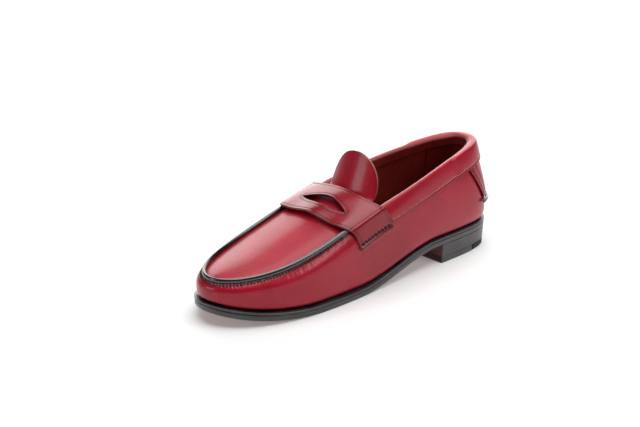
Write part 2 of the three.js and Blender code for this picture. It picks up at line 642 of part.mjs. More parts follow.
// Where the collar stops behind the strap, at a height v of the wall.
const collarSweep = { top: 0.36, power: 0.8 };
function collarEnd(v) {
  const down = clamp01(((1 - v) * wallLength(strapBack)) / strap.foot);
  const sweep = (strap.sweep + strap.flare / 2) * mix(collarSweep.top, 1, down ** collarSweep.power);
  return strapBack - (sweep + collar.strapGap) / loopPace;
}
const collarCrown = { from: 0.25, to: 0.75, lift: 0.5 }; // its flat top, across the fold
function collarRing(share) {
  const uAt = (v) => collarEnd(v) * share;
  const uTop = uAt(1);
  const length = wallLength(uTop);
  const base = clearance + panelLift(uTop);
  const t = collar.thickness;
  const inside = -liningDepth(uTop) - liningThickness - clearance;
  const outerRises = steps(1 - collar.width / length, 1, 4);
  const outerLeg = (offset) => outerRises.map((v) => wall(uAt(v), v, offset));
  const innerLeg = (offset) => [1, 1 - collar.turn / length].map((v) => wall(uAt(v), v, offset));
  const rise = wall(uTop, 1).sub(wall(uTop, 0.97)).normalize();
  const lifted = (offset, height) => wall(uTop, 1, offset).addScaledVector(rise, height);
  const crown = t + clearance + collarCrown.lift;
  return ringOf(
    [
      ...outerLeg(base + t),
      lifted(mix(base + t, inside - t, collarCrown.from), crown),
      lifted(mix(base + t, inside - t, collarCrown.to), crown),
      ...innerLeg(inside - t),
    ],
    [...outerLeg(base), lifted(base, clearance), lifted(inside, clearance), ...innerLeg(inside)],
  );
}
const collarStop = collarEnd(1);
const collarGrid = loopGrid.filter((u) => u < collarStop - 0.01);
const collarHalf = [...collarGrid, panelStep.to, panelStep.from, collarStop].sort((a, b) => a - b);
const collarSide = collarHalf.map((u) => u / collarStop);
const collarShares = [...collarSide.slice(1).map((share) => -share).reverse(), ...collarSide];
add("collar_band", skin(collarShares.map(collarRing)), "redLeather");
const hem = 2; // of a stitch row from the edge
const collarThreadRow = (share) => {
  const u = collarEnd(0.8) * share;
  const v = 1 - (collar.width - hem) / wallLength(u);
  return onWall(u, v, clearance + panelLift(u) + collar.thickness + threadRise);
};
add("collar_thread", cord(steps(-0.985, 0.985, 44).map(collarThreadRow), thread), "redThread");
// Two rows of stitches hold each side of the heel panel: one thread goes down and comes back up.
const panelRows = { outer: 0.95, inner: 0.83, foot: 0.03 };
for (const [name, side] of sides) {
  const down = steps(1 - (collar.width + hem) / backHeight, panelFoot + panelRows.foot, 5);
  const back = down.slice().reverse();
  const rows = [...down.map((v) => [panelRows.outer, v]), ...back.map((v) => [panelRows.inner, v])];
  const offset = panel.gap + leather + threadRise;
  const path = rows.map(([share, v]) => onWall(side * share * panelEnd(v), v, offset));
  add("panel_thread_" + name, cord(path, thread), "redThread");
}

// ---------- tongue ----------
// Its centre line, from the root at the apron's rear edge: back towards the heel, and up.
const tongueLine = [[0, 0], [2.4, 1.3], [4.8, 5], [8.4, 14], [12, 24], [15.2, 34]];
const tongueControl = controlRows(tongueLine, false);
const tongueAt = (along) => splineAt(tongueControl, along * (tongueLine.length - 1), false);
const apronRear = apronPoint(apronBack, 0);
// Fall of the apron's rear edge over half the tongue's width.
const rootFall = apronRear.z - apronPoint(apronBack, 0.75).z;
const root = place(0, distanceFromHeel(apronRear) - tongue.flexGap, apronRear.z - tongue.drop);
function tonguePoint(across, along) {
  const h = slopeStep;
  const [back, rise] = tongueAt(along);
  const [nextBack, nextRise] = tongueAt(along + h);
  const [lastBack, lastRise] = tongueAt(along - h);
  const facing = new THREE.Vector3(0, lastRise - nextRise, nextBack - lastBack).normalize();
  const rounded = clamp01((along - tongue.crown) / (1 - tongue.crown));
  const x = across * tongue.halfWidth * widthGrade * Math.sqrt(1 - rounded ** tongue.crownPower);
  const fall = mix(rootFall, tongue.fall, ease(along * 2)) * (x / (tongue.halfWidth * widthGrade)) ** 2;
  return new THREE.Vector3(x, root.y + back, root.z + rise).addScaledVector(facing, -fall);
}
function tongueShell(outside, inside) {
  const surface = (along, across, offset) => {
    const h = slopeStep;
    const alongLine = tonguePoint(across, along + h).sub(tonguePoint(across, along - h));
    const acrossLine = tonguePoint(across + h, along).sub(tonguePoint(across - h, along));
    return tonguePoint(across, along).addScaledVector(acrossLine.cross(alongLine).normalize(), offset);
  };
  const rows = [0.01, 0.1, 0.2, 0.32, 0.46, 0.6, 0.72, 0.82, 0.9, 0.955, 0.99];
  return shell(surface, rows, crossGrid, outside, inside);
}
add("tongue", tongueShell(0, -leather), "redLeather");
const tongueLining = tongueShell(-leather - clearance, -leather - clearance - liningThickness);
add("tongue_lining", tongueLining, "liningLeather");

// Centre the shoe over the origin, standing on z = 0.
const loafer = new THREE.Group();
loafer.add(shoe);
const box = new THREE.Box3().setFromObject(shoe, true);
shoe.position.set(-(box.min.x + box.max.x) / 2, -(box.min.y + box.max.y) / 2, -box.min.z);

export default loafer;
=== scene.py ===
import math

import bmesh
import bpy
import numpy as np
from mathutils import Matrix, Vector


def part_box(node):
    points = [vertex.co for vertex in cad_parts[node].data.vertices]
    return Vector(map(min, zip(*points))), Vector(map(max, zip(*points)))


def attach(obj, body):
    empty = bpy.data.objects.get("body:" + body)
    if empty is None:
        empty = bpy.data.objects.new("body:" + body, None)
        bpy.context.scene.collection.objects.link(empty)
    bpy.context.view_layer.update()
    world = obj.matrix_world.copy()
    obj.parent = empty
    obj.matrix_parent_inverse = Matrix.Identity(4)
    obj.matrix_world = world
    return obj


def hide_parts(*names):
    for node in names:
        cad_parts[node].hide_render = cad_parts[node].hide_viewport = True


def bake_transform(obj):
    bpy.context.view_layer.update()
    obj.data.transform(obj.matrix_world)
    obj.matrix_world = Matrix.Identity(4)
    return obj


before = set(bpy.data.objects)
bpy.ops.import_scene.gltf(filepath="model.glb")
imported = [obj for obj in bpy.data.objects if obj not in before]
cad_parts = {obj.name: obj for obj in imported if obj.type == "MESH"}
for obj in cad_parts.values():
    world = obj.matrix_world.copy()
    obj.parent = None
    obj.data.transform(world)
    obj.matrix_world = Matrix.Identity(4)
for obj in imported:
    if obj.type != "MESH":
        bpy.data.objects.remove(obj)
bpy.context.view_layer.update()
print("frame loaded with", len(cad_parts), "nodes")

# The last is one surface that every layer of the upper follows. Lengths in this file are millimetres, and
# settle() turns them into metres. u runs once round the shoe from the back of the heel along the outer side to
# the toe (0.5) and back; v runs up the wall from the feather edge to the top.
last = {
    "length": 300,
    "gap": 0.3,
    "heelHeight": 17,
    "waistStart": 76,
    "flatStart": 172,
    "flatEnd": 212,
    "toeSpring": 12,
    "soleStack": 7.36,
    "weltHeel": 1.5,
    "weltForepart": 3.2,
    "margin": 12,
    "camber": 0.17,
    "leather": 1.4,
    "lining": 1.0,
    "stiffener": 0.8,
    "backHeight": 67.5,
    "feather": (0.3, 2.2),  # how far the wall swings out and up from the feather edge
    "weltStart": 0.3,
    "weltSpan": 0.37,
    "firstNail": 12,
}
stiffeners = {"counterEnd": 0.1, "puffEnd": 1 / 12, "fade": 0.02, "foot": -0.06, "rise": 0.09}
# Outsole edge x and distance from the heel, top edge x, distance and height, then three bulges going up.
stations = np.array([
    [0, 0, 0, 9.5, 91.5, 3.8, 3.6, 1.5],
    [17, 3.5, 10, 12, 91, 3.8, 3.6, 1.5],
    [29.5, 16, 18.5, 24, 89.5, 3.6, 3.5, 1.5],
    [35, 42, 25.5, 50, 86, 3, 3, 1.5],
    [37.5, 78, 32.5, 84, 80.5, 3, 3, 1.5],
    [40, 118, 36, 118, 73.5, 2.5, 2.5, 2],
    [43.5, 160, 37.2, 154, 66, 2, 3, 3.5],
    [46.5, 205, 38.6, 203, 51.5, 2, 3.5, 4.5],
    [43, 246, 35.4, 244, 41, 2, 3.5, 4.5],
    [28, 283.5, 23, 279, 37, 2, 3.5, 4],
    [0, 300, 1, 293, 35.5, 2, 3.5, 3.5],
    [-28, 285, -21, 280, 37, 2, 3.5, 4],
    [-45, 250, -34, 246, 41.5, 2, 3.5, 4.5],
    [-48.5, 210, -38, 205, 51.5, 2, 3.5, 4.5],
    [-42, 165, -37, 156, 66, 2, 3, 3.5],
    [-32, 122, -36, 118, 73.5, 2.5, 2.5, 2],
    [-32.5, 80, -32.5, 84, 80.5, 3, 3, 1.5],
    [-34, 42, -25.5, 50, 86, 3, 3, 1.5],
    [-29, 16, -18.5, 24, 89.5, 3.6, 3.5, 1.5],
    [-17, 3.5, -10, 12, 91, 3.8, 3.6, 1.5],
])
up = np.array([0.0, 0.0, 1.0])
step = 2e-3  # in u, v, s or q, for slopes

# The first nail stands on the middle line near the back of the heel, so it gives the frame's place.
nailLow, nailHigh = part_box("heel_nail_1")
nailMiddle = (nailLow + nailHigh) * 500
frameShift = np.array([nailMiddle.x, nailMiddle.y - (last["length"] / 2 - last["firstNail"]), 0.0])


def ease(x):
    x = np.clip(x, 0, 1)
    return x * x * (3 - 2 * x)


def mix(a, b, share):
    return a + (b - a) * share


def unit(vectors):
    return vectors / np.maximum(np.linalg.norm(vectors, axis=-1, keepdims=True), 1e-12)


def openControl(rows):  # control rows of a cubic spline that passes close to the rows
    bent = np.array(rows, float)
    bent[1:-1] -= (rows[:-2] - 2 * rows[1:-1] + rows[2:]) / 6
    return np.concatenate([2 * bent[:1] - bent[1:2], bent, 2 * bent[-1:] - bent[-2:-1]])


def blendRows(a, b, c, d, f):
    near, far = 3 * f**3 - 6 * f**2 + 4, -3 * f**3 + 3 * f**2 + 3 * f + 1
    return ((1 - f) ** 3 * a + near * b + far * c + f**3 * d) / 6


def alongRows(rows, at):  # rows has one point array per row, at says where along the rows each point lies
    control = openControl(rows)
    at = np.asarray(at, float)
    i = np.clip(np.floor(at).astype(int), 0, len(rows) - 2)
    f = (at - i)[..., None]
    if rows.ndim == 2:
        picked = [control[i + k] for k in range(4)]
    else:
        picked = [np.take_along_axis(control, (i + k)[None, ..., None], axis=0)[0] for k in range(4)]
    return blendRows(*picked, f)


lastControl = stations - (np.roll(stations, 1, 0) - 2 * stations + np.roll(stations, -1, 0)) / 6


def station(u):
    at = np.asarray(u, float) * len(stations)
    i = np.floor(at).astype(int)
    f = (at - i)[..., None]
    picked = [lastControl[(i + k) % len(stations)] for k in (-1, 0, 1, 2)]
    return blendRows(*picked, f)


def groundGap(t):  # height of the outsole's underside over the ground
    waist = 1 - ease((t - last["waistStart"]) / (last["flatStart"] - last["waistStart"]))
    toe = np.clip((t - last["flatEnd"]) / (last["length"] - last["flatEnd"]), 0, 1) ** 2
    return last["heelHeight"] * waist + last["toeSpring"] * toe


def outward(u):
    ahead, behind = station(u + 1e-3), station(u - 1e-3)
    change = ahead - behind
    return unit(np.stack([change[..., 1], change[..., 0], 0 * change[..., 0]], -1))


def soleEdge(u, inset, height):
    s = station(u)
    point = np.stack([s[..., 0], last["length"] / 2 - s[..., 1], 0 * s[..., 0]], -1)
    point = point - outward(u) * np.asarray(inset, float)[..., None]
    point[..., 2] = groundGap(last["length"] / 2 - point[..., 1]) + height
    return point


def weltWidth(u):
    share = ease((station(u)[..., 1] / last["length"] - last["weltStart"]) / last["weltSpan"])
    return mix(last["weltHeel"], last["weltForepart"], share)


def topEdge(u):
    s = station(u)
    return np.stack([s[..., 2], last["length"] / 2 - s[..., 3], s[..., 4]], -1)


def wallPoint(u, v):
    u, v = np.asarray(u, float), np.asarray(v, float)
    n, top, s = outward(u), topEdge(u), station(u)
    foot = soleEdge(u, weltWidth(u), last["soleStack"])
    raised = [mix(foot, top, share) + n * s[..., k, None] for share, k in ((0.22, 5), (0.5, 6), (0.78, 7))]
    turned = [soleEdge(u, weltWidth(u) + last["margin"] / k, last["soleStack"]) for k in (1, 2.4)]
    out, rise = last["feather"]
    rows = np.stack([*turned, foot + out * n + rise * up, *raised, top])
    shape = np.broadcast_shapes(u.shape, v.shape)
    rows = rows.reshape(len(rows), *([1] * (len(shape) - u.ndim)), *u.shape, 3)
    return alongRows(np.broadcast_to(rows, (len(rows), *shape, 3)), np.broadcast_to(2 + 4 * v, shape))


def wallNormal(u, v):
    along = wallPoint(u + step, v) - wallPoint(u - step, v)
    rise = wallPoint(u, np.minimum(1, v + step)) - wallPoint(u, v - step)
    return unit(np.cross(rise, along))


def wall(u, v, offset=0.0):
    return wallPoint(u, v) + wallNormal(u, v) * np.asarray(offset, float)[..., None]


def wallLength(u):
    u = np.asarray(u, float)
    points = wallPoint(u[..., None], np.linspace(0, 1, 13))
    return np.linalg.norm(np.diff(points, axis=-2), axis=-1).sum(-1)


def seamFrame(u):
    along = unit(topEdge(u + step) - topEdge(u - step))
    inwards = unit(np.cross(along, up))
    return topEdge(u), inwards, unit(np.cross(inwards, along))


def apronPoint(u, s, trim=2.0):
    u, s = np.asarray(u, float), np.asarray(s, float)
    edges = []
    for loop in (u, 1 - u):
        point, inwards, _ = seamFrame(loop)
        edges.append(point + inwards * trim)
    span = np.linalg.norm(edges[0] - edges[1], axis=-1)
    rise = last["camber"] * span * (1 - np.abs(s) ** 1.8) / 2
    return mix(edges[1], edges[0], ((s + 1) / 2)[..., None]) + rise[..., None] * up


def normalOf(surface, a, b):
    alongA = surface(a + step, b) - surface(a - step, b)
    alongB = surface(a, b + step) - surface(a, b - step)
    return unit(np.cross(alongA, alongB))


def offsetFrom(surface):
    def shifted(a, b, offset=0.0):
        return surface(a, b) + normalOf(surface, a, b) * np.asarray(offset, float)[..., None]
    return shifted


apronSurface = offsetFrom(apronPoint)
loopTable = np.linspace(0, 0.5, 401)


def loopAt(distance, column):  # u on the outer side where the sole's edge (1) or top edge (3) is that far along
    return loopTable[np.argmax(station(loopTable)[:, column] >= distance)]


def liningDepth(u, v):
    loop = np.asarray(u, float) % 1
    fromHeel = np.minimum(loop, 1 - loop) - stiffeners["counterEnd"]
    fromToe = np.abs(loop - 0.5) - stiffeners["puffEnd"]
    room = 1 - ease(np.minimum(fromHeel, fromToe) / stiffeners["fade"])
    room = room * ease((v - stiffeners["foot"]) / stiffeners["rise"])
    return last["leather"] + last["gap"] + (last["stiffener"] + last["gap"]) * room


class Value:  # a socket that can stand in an expression
    def __init__(self, finish, socket):
        self.finish, self.socket = finish, socket

    def maths(self, operation, other):
        return self.finish.add("ShaderNodeMath", {"operation": operation}, {0: self, 1: other})

    def __add__(self, other):
        return self.maths("ADD", other)

    def __sub__(self, other):
        return self.maths("SUBTRACT", other)

    def __mul__(self, other):
        return self.maths("MULTIPLY", other)

    def __rsub__(self, other):
        return self.finish.add("ShaderNodeMath", {"operation": "SUBTRACT"}, {0: other, 1: self})

    __radd__, __rmul__ = __add__, __mul__


class Finish:  # one material while its nodes are made
    def __init__(self, name, **constants):
        self.material = bpy.data.materials.new(name)
        self.material.use_nodes = True
        self.tree = self.material.node_tree
        self.tree.nodes.clear()
        self.shader = self.tree.nodes.new("ShaderNodeBsdfPrincipled")
        self.add("ShaderNodeOutputMaterial", {}, {"Surface": Value(self, self.shader.outputs[0])}, output=None)
        for socket, value in constants.items():
            self.shader.inputs[socket.replace("_", " ")].default_value = value

    def add(self, kind, settings=None, sockets=None, output=0):
        node = self.tree.nodes.new(kind)
        for key, value in (settings or {}).items():
            if key == "stops":
                while len(node.color_ramp.elements) < len(value):
                    node.color_ramp.elements.new(1)
                for element, (position, colour) in zip(node.color_ramp.elements, value):
                    element.position, element.color = position, colour
            else:
                setattr(node, key, value)
        for key, value in (sockets or {}).items():
            if isinstance(value, Value):
                self.tree.links.new(value.socket, node.inputs[key])
            else:
                node.inputs[key].default_value = value
        return None if output is None else Value(self, node.outputs[output])

    def wear(self, **sockets):  # what changes over the surface
        for key, value in sockets.items():
            self.tree.links.new(value.socket, self.shader.inputs[key.replace("_", " ")])
        return self.material

    def place(self):
        return self.add("ShaderNodeTexCoord", output=3)

    def noise(self, scale, detail=3.0, roughness=0.5, at=None, distortion=0.0):
        sockets = {"Vector": at or self.place(), "Scale": scale, "Detail": detail, "Roughness": roughness}
        return self.add("ShaderNodeTexNoise", {}, {**sockets, "Distortion": distortion})

    def cells(self, scale, feature="F1"):
        return self.add("ShaderNodeTexVoronoi", {"feature": feature}, {"Vector": self.place(), "Scale": scale})

    def stretch(self, x, y, z):
        return self.add("ShaderNodeMapping", {}, {"Vector": self.place(), "Scale": (x, y, z)})

    def ramp(self, factor, low, high):  # 0 below low, 1 above high
        return self.add("ShaderNodeMapRange", {"clamp": True}, {0: factor, 1: low, 2: high, 3: 0.0, 4: 1.0})

    def tint(self, factor, below, above):
        settings = {"data_type": "RGBA", "clamp_factor": True}
        return self.add("ShaderNodeMix", settings, {0: factor, 6: below, 7: above}, output=2)

    def mark(self, name):  # a number kept at each vertex
        return self.add("ShaderNodeAttribute", {"attribute_name": name}, output=2)

    def bump(self, height, distance, strength=1.0, under=None):
        sockets = {"Height": height, "Distance": distance, "Strength": strength}
        if under is not None:
            sockets["Normal"] = under
        return self.add("ShaderNodeBump", {}, sockets)


def tone(red, green, blue):  # a screen colour, 0 to 255
    linear = [(c / 255 / 12.92) if c <= 10 else ((c / 255 + 0.055) / 1.055) ** 2.4 for c in (red, green, blue)]
    return (*linear, 1.0)


calf = {
    "deep": tone(84, 0, 14),
    "body": tone(144, 0, 28),
    "light": tone(166, 10, 40),
    # edge is the near-black of the painted shade in creases and stitch grooves.
    "edge": tone(40, 2, 10),
    "grain": 1500,
    "pores": 5200,
    "roughness": 0.33,
}


# shade scales all four colours: below 1 it paints shade onto a copy of the same leather, above 1 it paints light.
def calfLeather(name, shade=1.0, gloss=0.0):
    made = Finish(name, Specular_IOR_Level=0.28, Coat_Weight=0.3, Coat_Roughness=0.14, Coat_IOR=1.4)
    broad, cloud, mottled = made.noise(14, 2), made.noise(70, 4, 0.6), made.noise(420, 4, 0.65)
    darker = [tuple(shade * c for c in calf[key][:3]) + (1.0,) for key in ("deep", "body", "light", "edge")]
    base = made.tint(made.ramp(broad * 0.6 + cloud * 0.4, 0.36, 0.62), darker[1], darker[2])
    base = made.tint(made.ramp(mottled, 0.46, 0.8) * 0.35, base, darker[0])
    # Darkened towards the deep tone by the first mark (antiqued edges and seams, and painted shade where that mark
    # carries it), and towards the edge near-black by the second, which is painted shade in creases and stitch
    # grooves.
    base = made.tint(made.mark("patina") * (0.55 + mottled * 0.5), base, darker[0])
    base = made.tint(made.mark("crease"), base, darker[3])
    grain = made.cells(calf["grain"], "SMOOTH_F1")
    pores = made.ramp(made.cells(calf["pores"]), 0.0, 0.35)
    fine = made.noise(2600, 2, 0.6)
    wrinkle = made.noise(260, 3, 0.55, distortion=0.4)
    height = grain * 0.5 + fine * 0.3 + pores * 0.05
    relief = made.bump(height, 0.00004, 0.4, made.bump(wrinkle, 0.0001, 0.3))
    rough = calf["roughness"] - gloss + (mottled - 0.5) * 0.14 + made.mark("patina") * 0.05
    return made.wear(Base_Color=base, Roughness=rough, Normal=relief)


def darkLeather(name):
    made = Finish(name, Specular_IOR_Level=0.8, Coat_Weight=0.5, Coat_Roughness=0.1)
    cloud, fine = made.noise(160, 4, 0.6), made.noise(1900, 3, 0.6)
    base = made.tint(made.ramp(cloud, 0.4, 0.7), tone(6, 4, 4), tone(18, 12, 12))
    # The second vertex mark pulls the piping's foot, where it meets the leather beside it, towards a flat dark
    # tone: painted shade.
    base = made.tint(made.mark("crease"), base, tone(14, 10, 11))
    relief = made.bump(fine * 0.6 + cloud * 0.4, 0.00006, 0.6)
    return made.wear(Base_Color=base, Roughness=0.08 + cloud * 0.12, Normal=relief)


def flatLeather(name, dark, light, roughness, grain=1300, fibre=0.0):
    made = Finish(name, Specular_IOR_Level=0.35)
    broad, mottled = made.noise(24, 3), made.noise(300, 5, 0.65)
    base = made.tint(made.ramp(broad * 0.5 + mottled * 0.5, 0.36, 0.66), dark, light)
    # Darkened by the first vertex mark: antiqued edges on some pieces, and painted shade deep in the linings and
    # along the sock liner's sides.
    base = made.tint(made.mark("patina") * 0.8, base, tuple(0.45 * c for c in dark[:3]) + (1.0,))
    grains, fibres = made.cells(grain, "SMOOTH_F1"), made.noise(900, 4, 0.7, made.stretch(1, 0.18, 1))
    relief = made.bump(grains * 0.5 + mottled * 0.3 + fibres * fibre, 0.00008, 0.7)
    return made.wear(Base_Color=base, Roughness=roughness + (mottled - 0.5) * 0.2, Normal=relief)


def waxedEdge(name):  # the blacked and waxed edge of stacked leather
    made = Finish(name, Specular_IOR_Level=0.6, Coat_Weight=0.35, Coat_Roughness=0.22)
    streaks = made.noise(120, 4, 0.6, made.stretch(0.3, 0.3, 5))
    cloud, fine = made.noise(60, 3), made.noise(1500, 4, 0.7)
    base = made.tint(made.ramp(streaks * 0.6 + cloud * 0.4, 0.4, 0.66), tone(26, 24, 27), tone(60, 56, 61))
    # Painted shade: near-black along the lines where the edge rounds into the faces.
    base = made.tint(made.mark("crease"), base, tone(9, 9, 10))
    relief = made.bump(streaks * 0.7 + fine * 0.3, 0.00007, 0.5)
    return made.wear(Base_Color=base, Roughness=0.34 + streaks * 0.22, Normal=relief)


def twistedThread(name, dark, light):
    made = Finish(name, Specular_IOR_Level=0.3, Sheen_Weight=0.2)
    ply, fuzz = made.noise(2400, 2, 0.6), made.noise(700, 3)
    base = made.tint(made.ramp(fuzz * 0.5 + ply * 0.5, 0.38, 0.64), dark, light)
    return made.wear(Base_Color=base, Roughness=0.55 + ply * 0.3, Normal=made.bump(ply, 0.00006, 0.7))


def plainMetal(name, dark, light):
    made = Finish(name, Metallic=1.0)
    brushed, spots = made.noise(500, 3, 0.6, made.stretch(1, 0.1, 1)), made.noise(90, 3)
    base = made.tint(made.ramp(spots, 0.4, 0.7), dark, light)
    return made.wear(Base_Color=base, Roughness=0.28 + brushed * 0.25, Normal=made.bump(brushed, 0.00002, 0.5))


def crumbs(name, dark, light, scale, roughness):  # cork, foam, board and rubber
    made = Finish(name, Specular_IOR_Level=0.3)
    grains, fine = made.cells(scale), made.noise(scale * 2, 4, 0.7)
    base = made.tint(made.ramp(grains * 0.7 + fine * 0.3, 0.2, 0.7), dark, light)
    relief = made.bump(grains * 0.6 + fine * 0.4, 0.0002, 0.6)
    return made.wear(Base_Color=base, Roughness=roughness + fine * 0.15, Normal=relief)


finishes = {
    "calf": calfLeather("polished_calf"),
    # The apron's copy is painted 2% lighter and the strap's copy 26% darker than the other calf pieces, which are
    # the same leather: painted light on the apron and painted shade on the strap.
    "litApronCalf": calfLeather("polished_calf_apron_painted_light", 1.02, -0.06),
    "shadedStrapCalf": calfLeather("polished_calf_strap_painted_shade", 0.74, 0.12),
    "cutEdge": flatLeather("cut_edge", tone(150, 78, 74), tone(196, 128, 120), 0.6),
    "dyedEdge": flatLeather("dyed_edge", tone(54, 8, 14), tone(92, 18, 26), 0.42),
    "piping": darkLeather("burnished_piping"),
    "lining": flatLeather("glazed_lining", tone(98, 20, 18), tone(132, 38, 30), 0.45),
    "sock": flatLeather("sock_leather", tone(98, 34, 22), tone(132, 54, 34), 0.52),
    "sole": flatLeather("natural_sole", tone(112, 52, 38), tone(158, 84, 62), 0.48, 900, 0.4),
    "edge": waxedEdge("waxed_edge"),
    "breast": flatLeather("heel_breast", tone(58, 22, 18), tone(92, 40, 32), 0.42, 900, 0.4),
    "redThread": twistedThread("red_thread", tone(186, 96, 92), tone(232, 156, 148)),
    "darkThread": twistedThread("dark_thread", tone(20, 6, 9), tone(46, 12, 16)),
    "board": crumbs("leatherboard", tone(120, 96, 62), tone(168, 142, 100), 700, 0.75),
    "foam": crumbs("pad_foam", tone(190, 178, 158), tone(224, 216, 200), 1100, 0.8),
    "cork": crumbs("granulated_cork", tone(120, 82, 44), tone(196, 152, 96), 420, 0.75),
    "rubber": crumbs("heel_rubber", tone(20, 20, 21), tone(38, 38, 40), 900, 0.55),
    "steel": plainMetal("spring_steel", tone(120, 122, 126), tone(176, 178, 182)),
    "brass": plainMetal("brass_nail", tone(150, 116, 52), tone(206, 172, 96)),
}
print("finishes made:", len(finishes))


def quadsOf(index):  # faces between neighbouring rows and columns
    return np.stack([index[:-1, :-1], index[1:, :-1], index[1:, 1:], index[:-1, 1:]], -1).reshape(-1, 4)


def gridFaces(rows, columns, closed=False):
    index = np.arange(rows * columns).reshape(rows, columns)
    return quadsOf(np.vstack([index, index[:1]]) if closed else index)


def arcAlong(line):  # how far along a line each of its points lies
    return np.concatenate([[0], np.cumsum(np.linalg.norm(np.diff(line, axis=0), axis=1))])


def facingOut(points, faces):  # the faces, turned round if they enclose a negative volume
    a, b, c, d = (points[faces[:, k]] for k in range(4))
    volume = (np.cross(b, c) * a).sum() + (np.cross(c, d) * a).sum()
    return faces if volume > 0 else faces[:, ::-1]


def tubeFaces(points):  # points stand as tubes, rings and corners
    index = np.arange(points[..., 0].size).reshape(points.shape[:-1])
    turned = np.roll(index, -1, 2)
    quads = np.stack([index[:, :-1], index[:, 1:], turned[:, 1:], turned[:, :-1]], -1).reshape(-1, 4)
    caps = [list(ring) for ring in index[:, 0]] + [list(ring[::-1]) for ring in index[:, -1]]
    return [*facingOut(points.reshape(-1, 3), quads), *caps]


def settle(name, points, faces, materials, slots=None, marks=None, weld=False):
    points = np.asarray(points, float).reshape(-1, 3)
    mesh = bpy.data.meshes.new(name)
    mesh.from_pydata(((points + frameShift) / 1000).tolist(), [], [list(map(int, face)) for face in faces])
    # Two marks are kept at each vertex. The first darkens edges and seams, which is antiqued finish, and also
    # paints shade deep in the linings, at the wall's foot and along the sock liner's sides. The second is painted
    # shade in creases, seams and stitch grooves.
    for key in ("patina", "crease"):
        values = (marks or {}).get(key, np.zeros(len(points)))
        mark = mesh.attributes.new(key, "FLOAT", "POINT")
        mark.data.foreach_set("value", np.asarray(values, np.float32).ravel())
    for material in materials:
        mesh.materials.append(finishes[material])
    if slots is not None:
        mesh.polygons.foreach_set("material_index", np.asarray(slots, np.int32))
    if weld:
        work = bmesh.new()
        work.from_mesh(mesh)
        bmesh.ops.remove_doubles(work, verts=work.verts, dist=2e-6)
        bmesh.ops.recalc_face_normals(work, faces=work.faces)
        work.to_mesh(mesh)
        work.free()
    mesh.polygons.foreach_set("use_smooth", np.ones(len(mesh.polygons), bool))
    mesh.update()
    piece = bpy.data.objects.new(name, mesh)
    bpy.context.scene.collection.objects.link(piece)
    return piece


rounding = {"segments": 2, "angle": 50}


def soften(piece, width):  # rounds the cut edges, then keeps the result as the mesh
    bevel = piece.modifiers.new("edges", "BEVEL")
    bevel.width, bevel.segments = width / 1000, rounding["segments"]
    bevel.angle_limit = math.radians(rounding["angle"])
    bevel.limit_method, bevel.harden_normals = "ANGLE", False
    graph = bpy.context.evaluated_depsgraph_get()
    made = bpy.data.meshes.new_from_object(piece.evaluated_get(graph))
    piece.modifiers.clear()
    piece.data = made
    return piece


def belongs(piece, nodes=(), body="shoe"):
    if body:
        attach(piece, body)
    if nodes:
        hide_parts(*nodes)
    return piece


def layer(name, outer, inner, materials, closed=False, marks=None, edges=0.3, lined=None):
    rows, columns = outer.shape[:2]
    count = rows * columns
    top = gridFaces(rows, columns, closed)
    index = np.arange(count).reshape(rows, columns)
    along = np.vstack([index, index[:1]]) if closed else index
    rims = [
        np.stack([along[1:, 0], along[:-1, 0], along[:-1, 0] + count, along[1:, 0] + count], -1),
        np.stack([along[:-1, -1], along[1:, -1], along[1:, -1] + count, along[:-1, -1] + count], -1),
    ]
    if not closed:
        rims += [
            np.stack([index[0, :-1], index[0, 1:], index[0, 1:] + count, index[0, :-1] + count], -1),
            np.stack([index[-1, 1:], index[-1, :-1], index[-1, :-1] + count, index[-1, 1:] + count], -1),
        ]
    points = np.concatenate([outer.reshape(-1, 3), inner.reshape(-1, 3)])
    faces = np.concatenate([top, top[:, ::-1] + count, *rims])
    slots = np.repeat([0, 1, 2], [len(top), len(top), len(faces) - 2 * len(top)])
    if len(materials) > 3:  # the last end has its own finish
        slots[-(columns - 1):] = 3
    if lined is not None:  # from this column on, the outside is lining too
        slots[: len(top)] = np.where(np.arange(len(top)) % (columns - 1) >= lined, 1, 0)
    spread = lambda value: np.tile(np.broadcast_to(value, (rows, columns)).ravel(), 2)
    doubled = {key: spread(value) for key, value in (marks or {}).items()}
    piece = settle(name, points, facingOut(points, faces), materials, slots, doubled)
    return soften(piece, edges) if edges else piece


def near(distance, width):  # 1 on a line, falling to 0 beside it
    return np.exp(-((distance / width) ** 2))


threadRing = {"rings": 7, "corners": 8}


def stitchRow(name, path, normals, spec, finish, nodes=()):
    path = np.asarray(path, float).reshape(-1, 3)
    normals = np.asarray(normals, float).reshape(-1, 3)
    arc = arcAlong(path)
    count = max(1, int(round(arc[-1] / spec["pitch"])))
    middles = (np.arange(count) + 0.5) * arc[-1] / count
    reach = np.linspace(-1, 1, threadRing["rings"])
    at = middles[:, None] + reach * spec["length"] / 2
    pick = lambda values: np.stack([np.interp(at, arc, values[:, k]) for k in range(3)], -1)
    centre, normal = pick(path), unit(pick(normals))
    across = unit(np.cross(unit(np.gradient(centre, axis=1)), normal))
    lift = spec["lift"] * (1 - reach**2) - spec["sink"] * reach**4
    centre = centre + normal * lift[:, None] + across * (reach * spec.get("slant", 0))[:, None]
    across = unit(np.cross(unit(np.gradient(centre, axis=1)), normal))
    normal = unit(np.cross(across, unit(np.gradient(centre, axis=1))))
    turn = np.arange(threadRing["corners"]) * 2 * np.pi / threadRing["corners"]
    radius = spec["radius"] * (1 - 0.5 * reach**6)[None, :, None, None]
    ring = across[:, :, None] * np.cos(turn)[:, None] + normal[:, :, None] * np.sin(turn)[:, None] * 0.85
    points = centre[:, :, None] + ring * radius
    return belongs(settle(name, points, tubeFaces(points), [finish]), nodes)


def evenLoops(start, stop, pitch, column=3):  # evenly spaced u along the top edge (3) or the sole's edge (1)
    fine = np.linspace(start, stop, 2001)
    line = topEdge(fine) if column == 3 else soleEdge(fine, 0, 0)
    arc = arcAlong(line)
    count = max(2, int(arc[-1] / pitch) + 1)
    return np.interp(np.linspace(0, arc[-1], count), arc, fine)


